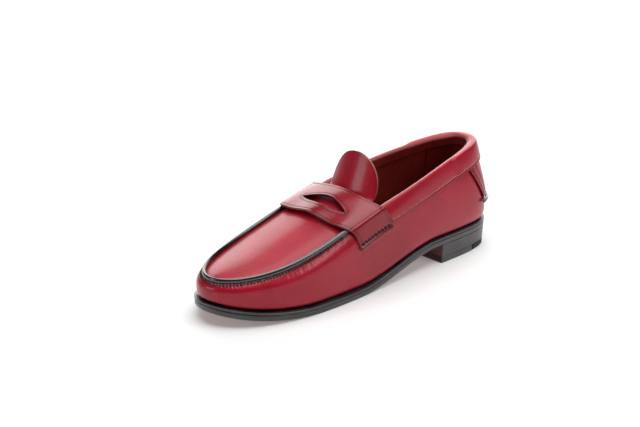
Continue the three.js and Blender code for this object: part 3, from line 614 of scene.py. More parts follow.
# Strap measures, which the collar and the apron share.
strap = {
    "width": 39.5, "flare": 3, "thickness": 1.8, "back": 151, "sweep": 20, "foot": 21, "lift": 4.6, "sag": 1.8,
    "gap": 0.5, "curve": 2.3, "arch": (-0.86, -0.6, -0.3, 0, 0.3, 0.6, 0.86), "edgeRow": 0.06, "endRow": 0.945,
    "fold": ((-3.3, -1.2), (-1.6, 2.7)), "archDrop": 0.7, "halfSpan": 88, "edge": 0.38,
}
slot = {"halfLength": 26, "back": 6, "front": 5.5, "forward": 2, "row": 2.4, "fade": 0.02}
piping = {"outer": 1.0, "inner": 2.0, "height": 3.0}
collar = {"width": 16.5, "thickness": 1.2, "turn": 8, "strapGap": 0.9, "row": 14.5, "legs": 26, "lined": 34}
panel = {
    "foot": 20, "footReach": 14, "topReach": 46, "gap": 0.45, "rollRadius": 1.6,
    "rows": (0.95, 0.83), "groove": 0.28,
}

loopPace = float(np.linalg.norm(topEdge(0.321) - topEdge(0.319))) / 2e-3
strapBack = loopAt(strap["back"], 3)
pipingStart = loopAt(strap["back"] + 8, 3)
apronBack = loopAt(strap["back"] + 1.5, 3)
panelFoot = (panel["foot"] + panel["rollRadius"] + last["gap"]) / last["backHeight"]
panelEnds = (loopAt(panel["footReach"], 1), loopAt(panel["topReach"], 3))


def panelEnd(v):
    return mix(*panelEnds, (v - panelFoot) / (1 - panelFoot))


vamp = {
    "pitch": 2.7, "pucker": 0.27, "reach": 2.8, "wrinkle": 0.1, "wrinkleReach": 6.5, "fade": 0.015, "seed": 4,
}
puckered = evenLoops(pipingStart, 1 - pipingStart, 0.5)
plain = evenLoops(1 - pipingStart, 1 + pipingStart, 2.0)
vampLoops = np.concatenate([puckered, plain[1:-1]])
vampRises = np.concatenate([np.linspace(-0.3, 0.06, 10), np.linspace(0.1, 0.84, 22), np.linspace(0.86, 1, 17)])
u, v = vampLoops[:, None], vampRises[None, :]
seamArc = arcAlong(topEdge(vampLoops))
fromSeam = (1 - v) * wallLength(vampLoops)[:, None]
sewn = ease((u - pipingStart) / vamp["fade"]) * ease((1 - pipingStart - u) / vamp["fade"])
drawn = vamp["pucker"] * np.cos(2 * np.pi * seamArc / vamp["pitch"])[:, None] * near(fromSeam, vamp["reach"])
wander = np.random.default_rng(vamp["seed"])
for share in (0.55, 0.8, 1.3):
    phase = seamArc / (vamp["pitch"] * 2 / share) * 2 * np.pi + wander.uniform(0, 6)
    bend = np.sin(phase + 1.4 * np.sin(seamArc / 17 + wander.uniform(0, 6)))
    drawn = drawn + vamp["wrinkle"] / 2 * bend[:, None] * near(fromSeam, vamp["wrinkleReach"])
valley = near(fromSeam - 1.8, 1.1) * (0.5 - 0.5 * np.cos(2 * np.pi * seamArc / vamp["pitch"]))[:, None]
outer = wall(u, v, sewn * drawn)
inner = wall(u, v, -last["leather"] + 0 * drawn)
# The first mark darkens the wall's foot, where it turns under to the welt, as painted shade, and a band along the
# apron seam as antiqued finish. The second is painted shade along the seam under the piping and in the dimples
# between the puckers.
shadeFoot = np.exp(-np.clip(v, 0, 1) / 0.05) + 0 * u
vampMarks = {
    "patina": np.clip(0.4 * shadeFoot + 0.15 * sewn * near(fromSeam, 3), 0, 1),
    "crease": np.clip(sewn * (0.8 * near(fromSeam, 0.8) + 0.7 * valley), 0, 1),
}
vampPiece = layer("vamp_upper", outer, inner, ["calf", "lining", "calf"], True, vampMarks, 0)
belongs(vampPiece, ["vamp"])
print("vamp made")

shares = np.linspace(-1, 1, 120)[:, None]
rises = np.linspace(panelFoot, 1, 44)[None, :]
ends = panelEnd(rises)
sink = panel["groove"] * sum(near((np.abs(shares) - row) * 30, 0.8) for row in panel["rows"])
outer = wall(shares * ends, rises, panel["gap"] + last["leather"] - sink)
inner = wall(shares * ends, rises, panel["gap"] + 0 * sink)
# The first mark is antiqued finish along the panel's edges and foot; the second is painted shade in the stitch
# grooves.
panelMarks = {
    "patina": np.clip(0.3 * near(1 - np.abs(shares), 0.05) + 0.6 * near(rises - panelFoot, 0.06) + 0 * sink, 0, 1),
    "crease": np.clip(sink * 0.5, 0, 1),
}
heelPanel = layer("heel_panel_leather", outer, inner, ["calf", "calf", "dyedEdge"], False, panelMarks, 0.35)
belongs(heelPanel, ["heel_panel"])

# The roll along the panel's foot, gathered at its ends.
rollEnd = panelEnds[0] + 0.01
rollLoops = evenLoops(-rollEnd, rollEnd, 0.7, 1)
rollRise = panel["foot"] / last["backHeight"] - 0.004
turn = np.linspace(0, 2 * np.pi, 17)[:-1]
fromEnd = rollEnd - np.abs(rollLoops)
gather = 1 + 0.07 * np.sin(rollLoops * 2600) * near(fromEnd, 0.006)
swell = np.sqrt(np.clip(fromEnd / 0.0022, 0.03, 1)) * gather * panel["rollRadius"]
centre = wall(rollLoops, rollRise + 0 * rollLoops, panel["rollRadius"] + 0.6 + 0 * rollLoops)
normal = wallNormal(rollLoops, rollRise + 0 * rollLoops)
tangent = unit(np.gradient(centre, axis=0))
across = np.cross(tangent, normal)
ring = normal[:, None] * np.cos(turn)[:, None] + across[:, None] * np.sin(turn)[:, None]
points = centre[:, None] + ring * swell[:, None, None]
roll = settle("heel_roll", points, tubeFaces(points[None]), ["piping"])
belongs(roll, ["heel_seam_roll"])
print("heel made")

# Linings.
gripEnd, vampLiningEnd, joint = 0.125, 0.275, 8e-4
linings = {
    "heel_grip": (-gripEnd, gripEnd, 1.0),
    "quarter_lining_lateral": (gripEnd, vampLiningEnd, 1.0),
    "quarter_lining_medial": (1 - vampLiningEnd, 1 - gripEnd, 1.0),
    "vamp_lining": (vampLiningEnd, 1 - vampLiningEnd, 0.93),
}
for name, (start, stop, top) in linings.items():
    loops = evenLoops(start + joint, stop - joint, 2.2)[:, None]
    rises = np.linspace(-0.28, top, 30)[None, :]
    depth = liningDepth(loops, rises)
    faces = [wall(loops, rises, -depth), wall(loops, rises, -depth - last["lining"])]
    # Painted shade: each lining is darkened towards its bottom, deep in the shoe.
    shade = {"patina": np.clip(0.9 * (1 - ease(rises / 0.8)) + 0 * loops, 0, 1)}
    piece = layer(name + "_leather", *faces, ["lining"] * 3, False, shade, 0.25)
    belongs(piece, [name])
print("linings made")

# The collar folds over the topline, from a sewn edge outside to a free edge inside.


def collarEnd(rise):
    down = np.clip((1 - rise) * wallLength(strapBack) / strap["foot"], 0, 1)
    sweep = (strap["sweep"] + strap["flare"] / 2) * mix(0.36, 1, down**0.8)
    return strapBack - (sweep + collar["strapGap"]) / loopPace


def collarLift(loop):
    start, stop = panelEnds[1] + 0.018, panelEnds[1] + 0.004
    height = last["gap"] + panel["gap"] + last["leather"]
    return height * ease((start - np.abs(loop)) / (start - stop))


shares = np.concatenate([np.linspace(-1, -0.9, 14)[:-1], np.linspace(-0.9, 0.9, 230), np.linspace(0.9, 1, 14)[1:]])
shares = shares[:, None]
topLoop = collarEnd(1.0) * shares
length = wallLength(topLoop[:, 0])[:, None]
base = last["gap"] + collarLift(topLoop)
legRises = 1 - collar["width"] / length * (1 - np.linspace(0, 1, collar["legs"])[None, :] ** 0.9)
fromTop = (1 - legRises) * length
stitchLine = near(fromTop - collar["row"], 0.75)
plump = 0.3 * np.sin(np.pi * np.clip(fromTop / collar["row"], 0, 1)) ** 0.7 - 0.3 * stitchLine
legLoops = collarEnd(legRises) * shares
insideOffset = -(liningDepth(topLoop, 1.0)) - last["lining"] - last["gap"]
t = collar["thickness"]
turn = np.linspace(0, np.pi, 15)[None, 1:-1]
middle, half = (base + t + insideOffset - t) / 2, (base + t - insideOffset + t) / 2
riseLine = unit(wall(topLoop, 1.0) - wall(topLoop, 0.97))
crown = t + last["gap"] + 0.5


def collarArc(width, low, high):
    offset = middle + width * np.cos(turn)
    raised = riseLine * (low + (high - low) * np.sin(turn))[..., None]
    return wall(topLoop + 0 * turn, 1.0 + 0 * offset, offset) + raised


innerRises = 1 - collar["turn"] / length * np.linspace(0, 1, 9)[None, :]
outer = np.concatenate([
    wall(legLoops, legRises, base + t + plump),
    collarArc(half, 0, crown),
    wall(collarEnd(innerRises) * shares, innerRises, insideOffset - t),
], 1)
inner = np.concatenate([
    wall(legLoops, legRises, base + 0 * plump),
    collarArc(half - t, last["gap"] / 2, crown - t),
    wall(collarEnd(innerRises) * shares, innerRises, insideOffset + 0 * innerRises),
], 1)
shade = np.zeros(outer.shape[:2])
shade[:, : collar["legs"]] = np.clip(0.3 * near(fromTop - collar["width"], 2.2) + 0.15 * near(fromTop - 4, 3), 0, 1)
# The second mark is painted shade in the stitch groove.
crease = np.zeros(outer.shape[:2])
crease[:, : collar["legs"]] = np.clip(0.3 * stitchLine, 0, 1)
marks = {"patina": shade, "crease": crease}
collarLeather = ["calf", "lining", "dyedEdge"]
collarPiece = layer("collar_leather", outer, inner, collarLeather, False, marks, 0.3, collar["lined"])
belongs(collarPiece, ["collar_band"])
print("collar made")

# The apron, between the strap and the toe.
apronLoops = np.concatenate([evenLoops(apronBack, 0.485, 1.5), np.linspace(0.4865, 0.4992, 12)])[:, None]
across = np.sin(np.linspace(-1, 1, 70) * np.pi / 2)[None, :]
edgeGap = (1 - np.abs(across)) * 30
outer = apronSurface(apronLoops, across, 0 * edgeGap + 0 * apronLoops)
inner = apronSurface(apronLoops, across, -last["leather"] + 0 * edgeGap + 0 * apronLoops)
shade = {"patina": np.clip(0.5 * near(edgeGap, 3.5) + 0 * apronLoops, 0, 1)}
apronPiece = layer("apron_leather", outer, inner, ["litApronCalf", "lining", "cutEdge"], False, shade, 0)
belongs(apronPiece, ["apron"])
trimmed = offsetFrom(lambda a, b: apronPoint(a, b, 4.2))
liningLoops = evenLoops(apronBack + 0.006, 0.492, 3)[:, None]
across = np.linspace(-1, 1, 30)[None, :]
depth = last["leather"] + last["gap"] + 0 * liningLoops + 0 * across
faces = [trimmed(liningLoops, across, -depth), trimmed(liningLoops, across, -depth - last["lining"])]
apronLining = layer("apron_lining_leather", *faces, ["lining"] * 3, False, None, 0.25)
belongs(apronLining, ["apron_lining"])

# The piping is a raised fold of dark leather, drawn in a little at each stitch.
loops = evenLoops(pipingStart, 1 - pipingStart, 0.45)
point, inwards, rise = seamFrame(loops)
arc = arcAlong(point)
section = np.array([
    (-1.0, -0.3), (-1.12, 0.5), (-1.1, 1.3), (-0.95, 2.05), (-0.6, 2.7), (-0.05, 3.12), (0.6, 3.26), (1.2, 3.1),
    (1.7, 2.65), (1.98, 2.0), (2.1, 1.2), (2.1, 0.5), (2.0, -0.2),
])
pull = 1 - 0.055 * (0.5 + 0.5 * np.cos(2 * np.pi * arc / vamp["pitch"]))[:, None]
side = (section[None, :, 0] - 0.5) * pull + 0.5
height = section[None, :, 1] * (0.97 + 0.03 * pull)
outer = point[:, None] + inwards[:, None] * side[..., None] + rise[:, None] * height[..., None]
within, under = side * 0.55 + 0.2, height * 0.55 - 0.4
inner = point[:, None] + inwards[:, None] * within[..., None] + rise[:, None] * under[..., None]
# Painted shade: the second mark tints the piping's foot, where it meets the leather beside it.
shade = {"crease": np.clip(1.2 * near(height, 0.8), 0, 1)}
pipingPiece = layer("apron_piping_leather", outer, inner, ["piping"] * 3, False, shade, 0)
belongs(pipingPiece, ["apron_piping"])
print("apron made")


def strapRows(loop):
    length = wallLength(loop)
    foot = strap["foot"] / length
    point, inwards, rise = seamFrame(loop)
    seam = lambda a, b: point + inwards * a + rise * b
    return [
        wall(loop, 1 - foot, strap["gap"] + 0 * loop),
        wall(loop, 1 - 0.45 * foot, strap["gap"] + 0.2 + 0 * loop),
        *(seam(*place) for place in strap["fold"]),
    ]


# The strap's rows are laid out once at close steps of the loop, and strapPoint() reads between them.
reachBack = strap["sweep"] + strap["flare"]
loopLine = strapBack + np.linspace(-reachBack, strap["width"] + reachBack, 1500) / loopPace
archShares = np.array(strap["arch"])
sideRows = np.stack([*strapRows(1 - loopLine), *strapRows(loopLine)[::-1]])
archRows = apronPoint(loopLine[None, :], archShares[:, None])
archNormals = normalOf(apronPoint, loopLine[None, :], archShares[:, None])
laidRows = np.concatenate([sideRows[:4], archRows, sideRows[4:]])
laidNormals = np.concatenate([0 * sideRows[:4], archNormals, 0 * sideRows[4:]])
archSag = np.concatenate([np.zeros(4), strap["sag"] * np.sin(np.pi * np.abs(archShares)) ** 2, np.zeros(4)])
archLift = np.concatenate([np.zeros(4), strap["lift"] - strap["archDrop"] * archShares**4, np.zeros(4)])


def strapPoint(s, q):
    s, q = np.broadcast_arrays(np.asarray(s, float), np.asarray(q, float))
    flare = mix(strap["flare"], -strap["flare"], q) / 2
    swept = strap["width"] * (1 - q) + (flare - strap["sweep"]) * np.abs(s) ** strap["curve"]
    at = (swept + reachBack) / (strap["width"] + 2 * reachBack) * (len(loopLine) - 1)
    i = np.clip(np.floor(at).astype(int), 0, len(loopLine) - 2)
    f = (at - i)[..., None]
    perRow = (-1, *([1] * s.ndim))
    lift = archLift.reshape(perRow) - archSag.reshape(perRow) * (1 - q)
    normals = mix(laidNormals[:, i], laidNormals[:, i + 1], f)
    rows = mix(laidRows[:, i], laidRows[:, i + 1], f) + normals * lift[..., None]
    return alongRows(rows, (s + 1) / 2 * (len(rows) - 1))


strapSurface = offsetFrom(strapPoint)
table = np.linspace(-0.5, 0.5, 201)
tableX = strapPoint(table, 0.45 + 0 * table)[:, 0]
slotEnds = np.interp([-slot["halfLength"], slot["halfLength"]], tableX, table)
columns = np.concatenate([
    np.linspace(-1, slotEnds[0], 74)[:-1],
    slotEnds[0] + (slotEnds[1] - slotEnds[0]) * (1 - np.cos(np.linspace(0, np.pi, 61))) / 2,
    np.linspace(slotEnds[1], 1, 74)[1:],
])
slotOpen = (columns > slotEnds[0] + 1e-9) & (columns < slotEnds[1] - 1e-9)
slotLine = strapPoint(0.0, 0.5)[1] - slot["forward"]


def shareAtY(s, y):  # q where the strap passes a line of that y
    q = np.full_like(s, 0.45)
    for _ in range(4):
        here, there = strapPoint(s, q)[..., 1], strapPoint(s, q + 0.02)[..., 1]
        q = q + (y - here) * 0.02 / (there - here)
    return q


columnX = np.interp(columns, table, tableX)
fullness = np.where(slotOpen, 1 - (columnX / slot["halfLength"]) ** 2, 0)
inSlot = np.clip(columns, slotEnds[0], slotEnds[1])
endQ = shareAtY(inSlot, slotLine + 0 * inSlot)
lowQ = np.where(slotOpen, shareAtY(inSlot, slotLine - slot["front"] * fullness), endQ)
highQ = np.where(slotOpen, shareAtY(inSlot, slotLine + slot["back"] * fullness), endQ)
halfColumns = 26
front = lowQ[:, None] * np.linspace(0, 1, halfColumns)[None, :]
back = mix(highQ[:, None], 1.0, np.linspace(0, 1, halfColumns)[None, :])
s, q = columns[:, None], np.concatenate([front, back], 1)
strapSpan = strap["width"]
toSlot = np.concatenate([(lowQ[:, None] - front), (back - highQ[:, None])], 1) * strapSpan
fade = slot["fade"]
beside = ease((columns - slotEnds[0] + fade) / fade) * ease((slotEnds[1] + fade - columns) / fade)
fromEnd = (1 - np.abs(s)) * strap["halfSpan"]
fromEdge = np.minimum(q, 1 - q) * strapSpan
edgeLine = near(fromEdge - strap["edgeRow"] * strapSpan, 0.8) * ease((fromEnd - 6) / 4)
endLine = near(fromEnd - (1 - strap["endRow"]) * strap["halfSpan"], 1.1)
slotRow = near(toSlot - slot["row"], 0.8) * beside[:, None]
lip = 0.75 * near(fromEnd - 1.9, 1.5)
sink = 0.1 * np.clip(edgeLine + slotRow, 0, 1) + 0.7 * endLine - lip
outer = strapSurface(s + 0 * q, q, strap["thickness"] - sink)
inner = strapSurface(s + 0 * q, q, 0 * q)
count = outer.shape[0] * outer.shape[1]
index = np.arange(count).reshape(outer.shape[:2])
top = np.concatenate([quadsOf(index[:, :halfColumns]), quadsOf(index[:, halfColumns:])])


def strapRim(line, rows=None):
    pairs = np.stack([line[:-1], line[1:], line[1:] + count, line[:-1] + count], -1)
    return pairs if rows is None else pairs[rows]


cut = slotOpen[:-1] | slotOpen[1:]
rims = np.concatenate([
    strapRim(index[:, 0])[:, ::-1],
    strapRim(index[:, -1]),
    strapRim(index[:, halfColumns - 1], cut),
    strapRim(index[:, halfColumns], cut)[:, ::-1],
    strapRim(index[0, :halfColumns]), strapRim(index[0, halfColumns:]),
    strapRim(index[-1, :halfColumns])[:, ::-1], strapRim(index[-1, halfColumns:])[:, ::-1],
])
points = np.concatenate([outer.reshape(-1, 3), inner.reshape(-1, 3)])
faces = np.concatenate([top, top[:, ::-1] + count, rims])
slots = np.repeat([0, 1, 2], [len(top), len(top), len(rims)])
slotRim = 2 * len(top) + 2 * (outer.shape[0] - 1)
slots[slotRim: slotRim + 2 * int(cut.sum())] = 3
fromCut = np.minimum(fromEdge, np.where(beside[:, None] > 0.5, toSlot, 99))
# The first mark is antiqued finish along the cut edges, the slot and the ends. The second is painted shade in the
# stitch grooves and along the end row.
marks = {
    "patina": np.tile(np.clip(0.35 * near(fromCut, 2.2) + 0.4 * near(fromEnd, 5), 0, 1).ravel(), 2),
    "crease": np.tile(np.clip(0.06 * edgeLine + 0.06 * slotRow + 0.5 * endLine, 0, 1).ravel(), 2),
}
strapLeather = ["shadedStrapCalf", "lining", "cutEdge", "dyedEdge"]
strapPiece = settle("strap_leather", points, faces, strapLeather, slots, marks, True)
soften(strapPiece, strap["edge"])
belongs(strapPiece, ["penny_strap"])
print("strap made")

tongue = {"halfWidth": 26.5, "fall": 7, "crown": 0.4, "flexGap": 0.8}
tongueLine = np.array([[0, 0], [2.4, 1.3], [4.8, 5], [8.4, 14], [12, 24], [15.2, 34]], float)
apronRear = apronPoint(apronBack, 0.0)
rootFall = apronRear[2] - apronPoint(apronBack, 0.75)[2]
root = np.array([0, apronRear[1] + tongue["flexGap"], apronRear[2] - 0.2])


def tonguePoint(across, along):
    across, along = np.broadcast_arrays(np.asarray(across, float), np.asarray(along, float))
    scale = len(tongueLine) - 1
    here, ahead, behind = (alongRows(tongueLine, (along + h) * scale) for h in (0, step, -step))
    zero = 0 * across
    facing = unit(np.stack([zero, behind[..., 1] - ahead[..., 1], ahead[..., 0] - behind[..., 0]], -1))
    rounded = np.clip((along - tongue["crown"]) / (1 - tongue["crown"]), 0, 1)
    x = across * tongue["halfWidth"] * np.sqrt(np.maximum(0, 1 - rounded**2.3))
    fall = mix(rootFall, tongue["fall"], ease(along * 2)) * (x / tongue["halfWidth"]) ** 2
    return np.stack([x, root[1] + here[..., 0], root[2] + here[..., 1]], -1) - facing * fall[..., None]


def tongueSurface(along, across, offset):
    alongLine = tonguePoint(across, along + step) - tonguePoint(across, along - step)
    acrossLine = tonguePoint(across + step, along) - tonguePoint(across - step, along)
    normal = unit(np.cross(acrossLine, alongLine))
    return tonguePoint(across, along) + normal * np.asarray(offset, float)[..., None]


crownTurn = np.linspace(0, math.radians(87), 30)[1:]
crownRows = tongue["crown"] + (1 - tongue["crown"]) * np.sin(crownTurn) ** (2 / 2.3)
across = np.linspace(-1, 1, 61)[None, :]
for name, finish, slotName, top, thick, start in (
    ("tongue", "calf", "red_leather", 0.0, last["leather"], -0.035),
    ("tongue_lining", "lining", "lining_leather", -last["leather"] - last["gap"], last["lining"], 0.01),
):
    rows = np.concatenate([np.linspace(start, tongue["crown"], 26), crownRows])[:, None]
    offset = top + 0 * rows + 0 * across
    edge = near(1 - np.abs(across), 0.06) + near(1 - rows, 0.03) * ease((rows - 0.5) / 0.3)
    shade = {"patina": np.clip(0.5 * edge, 0, 1)}
    faces = [tongueSurface(rows, across, offset), tongueSurface(rows, across, offset - thick)]
    piece = layer(name + "_leather", *faces, [finish, "lining", "cutEdge"], False, shade, 0.3)
    belongs(piece, [name], None)
    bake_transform(piece)
print("tongue made")


bottoms = {
    "outsole": 4.7, "midsole": 2.0, "insole": 2.2, "pad": 2.4, "padEnd": 62, "padFade": 14, "inset": 0.4,
    "heelLength": 72, "rubberLength": 30, "padLength": 58, "topLift": 5.6, "lifts": 3, "taper": 1.1, "columns": 14,
}


def plate(name, inset, bottom, top, profile, materials, span=None):
    loops = evenLoops(0, 1, 1.8, 1)[:-1] if span is None else evenLoops(*span, 1.4, 1)
    insets = np.full(len(loops), float(inset))
    shares = np.linspace(0.5, 0, bottoms["columns"])[:-1]

    def rowAt(share, extra, low):  # low from 0 at the top to 1 at the bottom
        here, there = soleEdge(loops, insets + extra, 0), soleEdge(1 - loops, insets + extra, 0)
        point = mix(here, there, share)
        t = last["length"] / 2 - point[:, 1]
        point[:, 2] = groundGap(t) + mix(np.full_like(t, top), np.full_like(t, bottom), low)
        return point

    first, final = profile[0], profile[-1]
    rows = [rowAt(share, first[0], 0.0) for share in shares]
    rows += [rowAt(0.0, extra, low) for extra, low in profile]
    rows += [rowAt(share, final[0], 1.0) for share in shares[::-1]]
    points = np.stack(rows, 1)
    faces = gridFaces(*points.shape[:2], span is None)
    band = np.arange(points.shape[1] - 1)
    kind = np.where(band < len(shares), 0, np.where(band < len(shares) + len(profile) - 1, 1, 2))
    slots = list(np.tile(kind, len(faces) // len(band)))
    allFaces = [list(face) for face in faces]
    if span is not None:
        width = points.shape[1]
        lastRow = (len(loops) - 1) * width
        for i in range(width - 1):
            allFaces.append([i, i + 1, lastRow + i + 1, lastRow + i])
            slots.append(2)
    # Painted shade: dark lines where the edge rounds into the top and bottom faces, in the grooves between stacked
    # layers.
    marks = np.zeros(points.shape[:2])
    marks[:, len(shares)] = marks[:, len(shares) + len(profile) - 1] = 0.3
    return settle(name, points, allFaces, materials, slots, {"crease": marks.ravel()}, True)


midBottom = bottoms["outsole"] + last["gap"]
outsoleEdge = [
    (0.9, 0.0), (0.45, 0.0), (0.1, 0.07), (0, 0.18), (0, 0.5), (0, 0.82), (0.2, 0.94), (0.6, 1.0), (1.4, 1.0),
]
midsoleEdge = [(1.2, 0.0), (0.5, 0.02), (0.12, 0.14), (0, 0.36), (0, 0.7), (0.16, 0.94), (0.5, 1.0)]
liftEdge = [(0.4, 0.0), (0.1, 0.01), (0.02, 0.04), (0, 0.1), (0, 0.9), (0.02, 0.96), (0.1, 0.99), (0.4, 1.0)]
topEdgeShape = [
    (0.8, 0.0), (0.2, 0.01), (0.05, 0.05), (0, 0.12), (0, 0.5), (0, 0.8), (0.3, 0.93), (0.9, 1.0), (1.6, 1.0),
]
outsole = plate("outsole_leather", bottoms["inset"], 0.0, bottoms["outsole"], outsoleEdge, ["edge", "edge", "sole"])
belongs(outsole, ["outsole"])
midsole = plate("midsole_leather", 0.0, midBottom, midBottom + bottoms["midsole"], midsoleEdge, ["edge"] * 3)
belongs(midsole, ["midsole"])
breast = loopAt(bottoms["heelLength"], 1)
topLift, liftCount, heelTaper = bottoms["topLift"], bottoms["lifts"], bottoms["taper"]
liftThickness = (last["heelHeight"] - topLift - (liftCount + 1) * last["gap"]) / liftCount
for i in range(liftCount):
    bottom = -last["heelHeight"] + topLift + last["gap"] + i * (liftThickness + last["gap"])
    inset = bottoms["inset"] + heelTaper * (liftCount - i) / (liftCount + 1)
    piece = plate(
        f"heel_lift_{i + 1}_leather", inset, bottom - 0.14, bottom + liftThickness + 0.14, liftEdge,
        ["edge", "edge", "breast"], (-breast, breast),
    )
    belongs(piece, [f"heel_lift_{i + 1}"])
rubberFront = loopAt(bottoms["rubberLength"], 1)
heelInset = bottoms["inset"] + heelTaper
low, high = -last["heelHeight"], topLift - last["heelHeight"] + 0.1
rubberSpan = (-rubberFront, rubberFront)
rubber = plate("top_lift_rubber_block", heelInset, low, high, topEdgeShape, ["rubber"] * 3, rubberSpan)
belongs(rubber, ["top_lift_rubber"])
print("sole made")


def spanning(name, inset, bottom, top, start, stop, materials, nodes, edges=0.4, dish=0.0, columns=26):
    loops = evenLoops(start, stop, 1.6, 1)
    insets = inset(loops) if callable(inset) else np.full(len(loops), float(inset))
    insetsIn = inset(1 - loops) if callable(inset) else insets
    shares = (1 - np.cos(np.linspace(0, np.pi, columns))) / 2
    footLines = soleEdge(1 - loops, insetsIn, 0), soleEdge(loops, insets, 0)
    flatPoint = mix(footLines[0][:, None], footLines[1][:, None], shares[None, :, None])
    t = last["length"] / 2 - flatPoint[..., 1]
    sides = []
    for height in (top, bottom):
        level = flatPoint.copy()
        curve = dish * (np.abs(2 * shares - 1) ** 2.5)[None, :] if height is top else 0
        level[..., 2] = groundGap(t) + (height(t) if callable(height) else height) + curve
        sides.append(level)
    # Painted shade: darker along the sheet's two sides, the corners where the sock liner meets the lining.
    shade = {"patina": np.clip(0.8 * near(0.5 - np.abs(shares - 0.5), 0.06)[None, :] + 0 * t, 0, 1)}
    return belongs(layer(name, *sides, materials, False, shade, edges), nodes)


spanning(
    "top_lift_leather", heelInset, low, high, rubberFront + 0.002, breast, ["edge", "edge", "edge", "breast"],
    ["top_lift"],
)
margins = last["soleStack"] + last["leather"] + last["gap"] + last["lining"]
insoleBottom = margins + last["gap"]
insoleTop = insoleBottom + bottoms["insole"]


def insoleInset(u):
    return weltWidth(u) + liningDepth(u, 0.5) + last["lining"] + 3


def padRise(t):
    return bottoms["pad"] * (1 - ease((t - bottoms["padEnd"]) / bottoms["padFade"]))


padFront = loopAt(bottoms["padLength"], 1)
pad = spanning(
    "heel_pad_foam", lambda u: insoleInset(u) + 4, insoleTop + last["gap"], insoleTop + bottoms["pad"], 0.004,
    padFront, ["foam"] * 3, ["heel_pad"], 0.5,
)
spanning(
    "sock_liner_leather", lambda u: insoleInset(u) - 0.6, lambda t: insoleTop + last["gap"] + padRise(t),
    lambda t: insoleTop + 1.3 + padRise(t), 0.004, 0.496, ["sock"] * 3, ["sock_liner"], 0.3, 0.5, 30,
)
print("insole parts made")

fine = {"pitch": 2.5, "length": 1.7, "radius": 0.28, "lift": 0.25, "sink": 0.35}
edging = {"pitch": 2.2, "length": 1.6, "radius": 0.3, "lift": 0.3, "sink": 0.3}
coarse = {"pitch": 4.1, "length": 3.3, "radius": 0.62, "lift": 0.8, "sink": 0.6, "slant": 1.1}
seam = {"pitch": vamp["pitch"], "length": 1.7, "radius": 0.44, "lift": 0.5, "sink": 0.5, "slant": 0.8}


def strapLine(points, depth):
    points = np.asarray(points, float)
    s, q = points[:, 0], points[:, 1]
    return strapSurface(s, q, strap["thickness"] - depth), normalOf(strapPoint, s, q)


sewnS = np.linspace(-strap["endRow"] + 0.012, strap["endRow"] - 0.012, 260)
for name, q in (("front", strap["edgeRow"]), ("back", 1 - strap["edgeRow"])):
    path = strapLine(np.stack([sewnS, q + 0 * sewnS], 1), 0.2)
    stitchRow("strap_stitches_" + name, *path, fine, "darkThread", ["strap_thread_" + name])
for name, side in (("lateral", 1), ("medial", -1)):
    q = np.linspace(0.03, 0.97, 60)
    path = strapLine(np.stack([side * strap["endRow"] + 0 * q, q], 1), 0.25)
    stitchRow("strap_end_stitches_" + name, *path, coarse, "darkThread", ["strap_end_thread_" + name])
beyond = 0.03
slotS = np.linspace(slotEnds[0] - beyond, slotEnds[1] + beyond, 160)
inside = np.clip(slotS, slotEnds[0], slotEnds[1])
width = np.clip(1 - (np.interp(inside, table, tableX) / slot["halfLength"]) ** 2, 0, 1)
row = slot["row"] * ease((slotS - slotEnds[0] + beyond) / beyond) * ease((slotEnds[1] + beyond - slotS) / beyond)
slotLines = {"front": slotLine - slot["front"] * width - row, "back": slotLine + slot["back"] * width + row}
for name, y in slotLines.items():
    path = strapLine(np.stack([slotS, shareAtY(slotS, y)], 1), 0.2)
    stitchRow("slot_stitches_" + name, *path, fine, "darkThread")

strapFront = strap["width"] + (strap["flare"] / 2 - strap["sweep"]) * 0.6 ** strap["curve"]
apronFrontLoop = float(strapBack + strapFront / loopPace) + 0.004
for name, start, stop in (("lateral", apronFrontLoop, 0.5), ("medial", 0.5, 1 - apronFrontLoop)):
    loops = evenLoops(start, stop, 0.5)
    rise = 1 - 1.9 / wallLength(loops)
    path = (wall(loops, rise, 0.1 + 0 * loops), wallNormal(loops, rise))
    stitchRow("apron_stitches_" + name, *path, seam, "darkThread", ["apron_thread_" + name])

shares = np.linspace(-0.99, 0.99, 500)
rise = 1 - collar["row"] / wallLength(collarEnd(0.8) * shares)
loops = collarEnd(rise) * shares
path = wall(loops, rise, last["gap"] + collarLift(loops) + collar["thickness"] - 0.25)
stitchRow("collar_stitches", path, wallNormal(loops, rise), edging, "redThread", ["collar_thread"])
for name, side in (("lateral", 1), ("medial", -1)):
    rises = np.linspace(1 - (collar["width"] + 2) / last["backHeight"], panelFoot + 0.03, 60)
    rows = []
    for share in panel["rows"]:
        loops = side * share * panelEnd(rises)
        path = wall(loops, rises, panel["gap"] + last["leather"] - 0.25 + 0 * rises)
        rows.append((path, wallNormal(loops, rises)))
    stitchRow("panel_stitches_" + name, *rows[0], fine, "darkThread", ["panel_thread_" + name])
    stitchRow("panel_inner_stitches_" + name, *rows[1], fine, "darkThread")
print("stitches made")

# The pieces that stay as they were built get their own finishes.
kept = {
    "insole": "board", "heel_counter": "board", "toe_puff": "board", "cork_filler": "cork", "shank": "steel",
    **{f"heel_nail_{i + 1}": "brass" for i in range(5)},
}
for node, finish in kept.items():
    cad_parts[node].data.materials.clear()
    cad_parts[node].data.materials.append(finishes[finish])

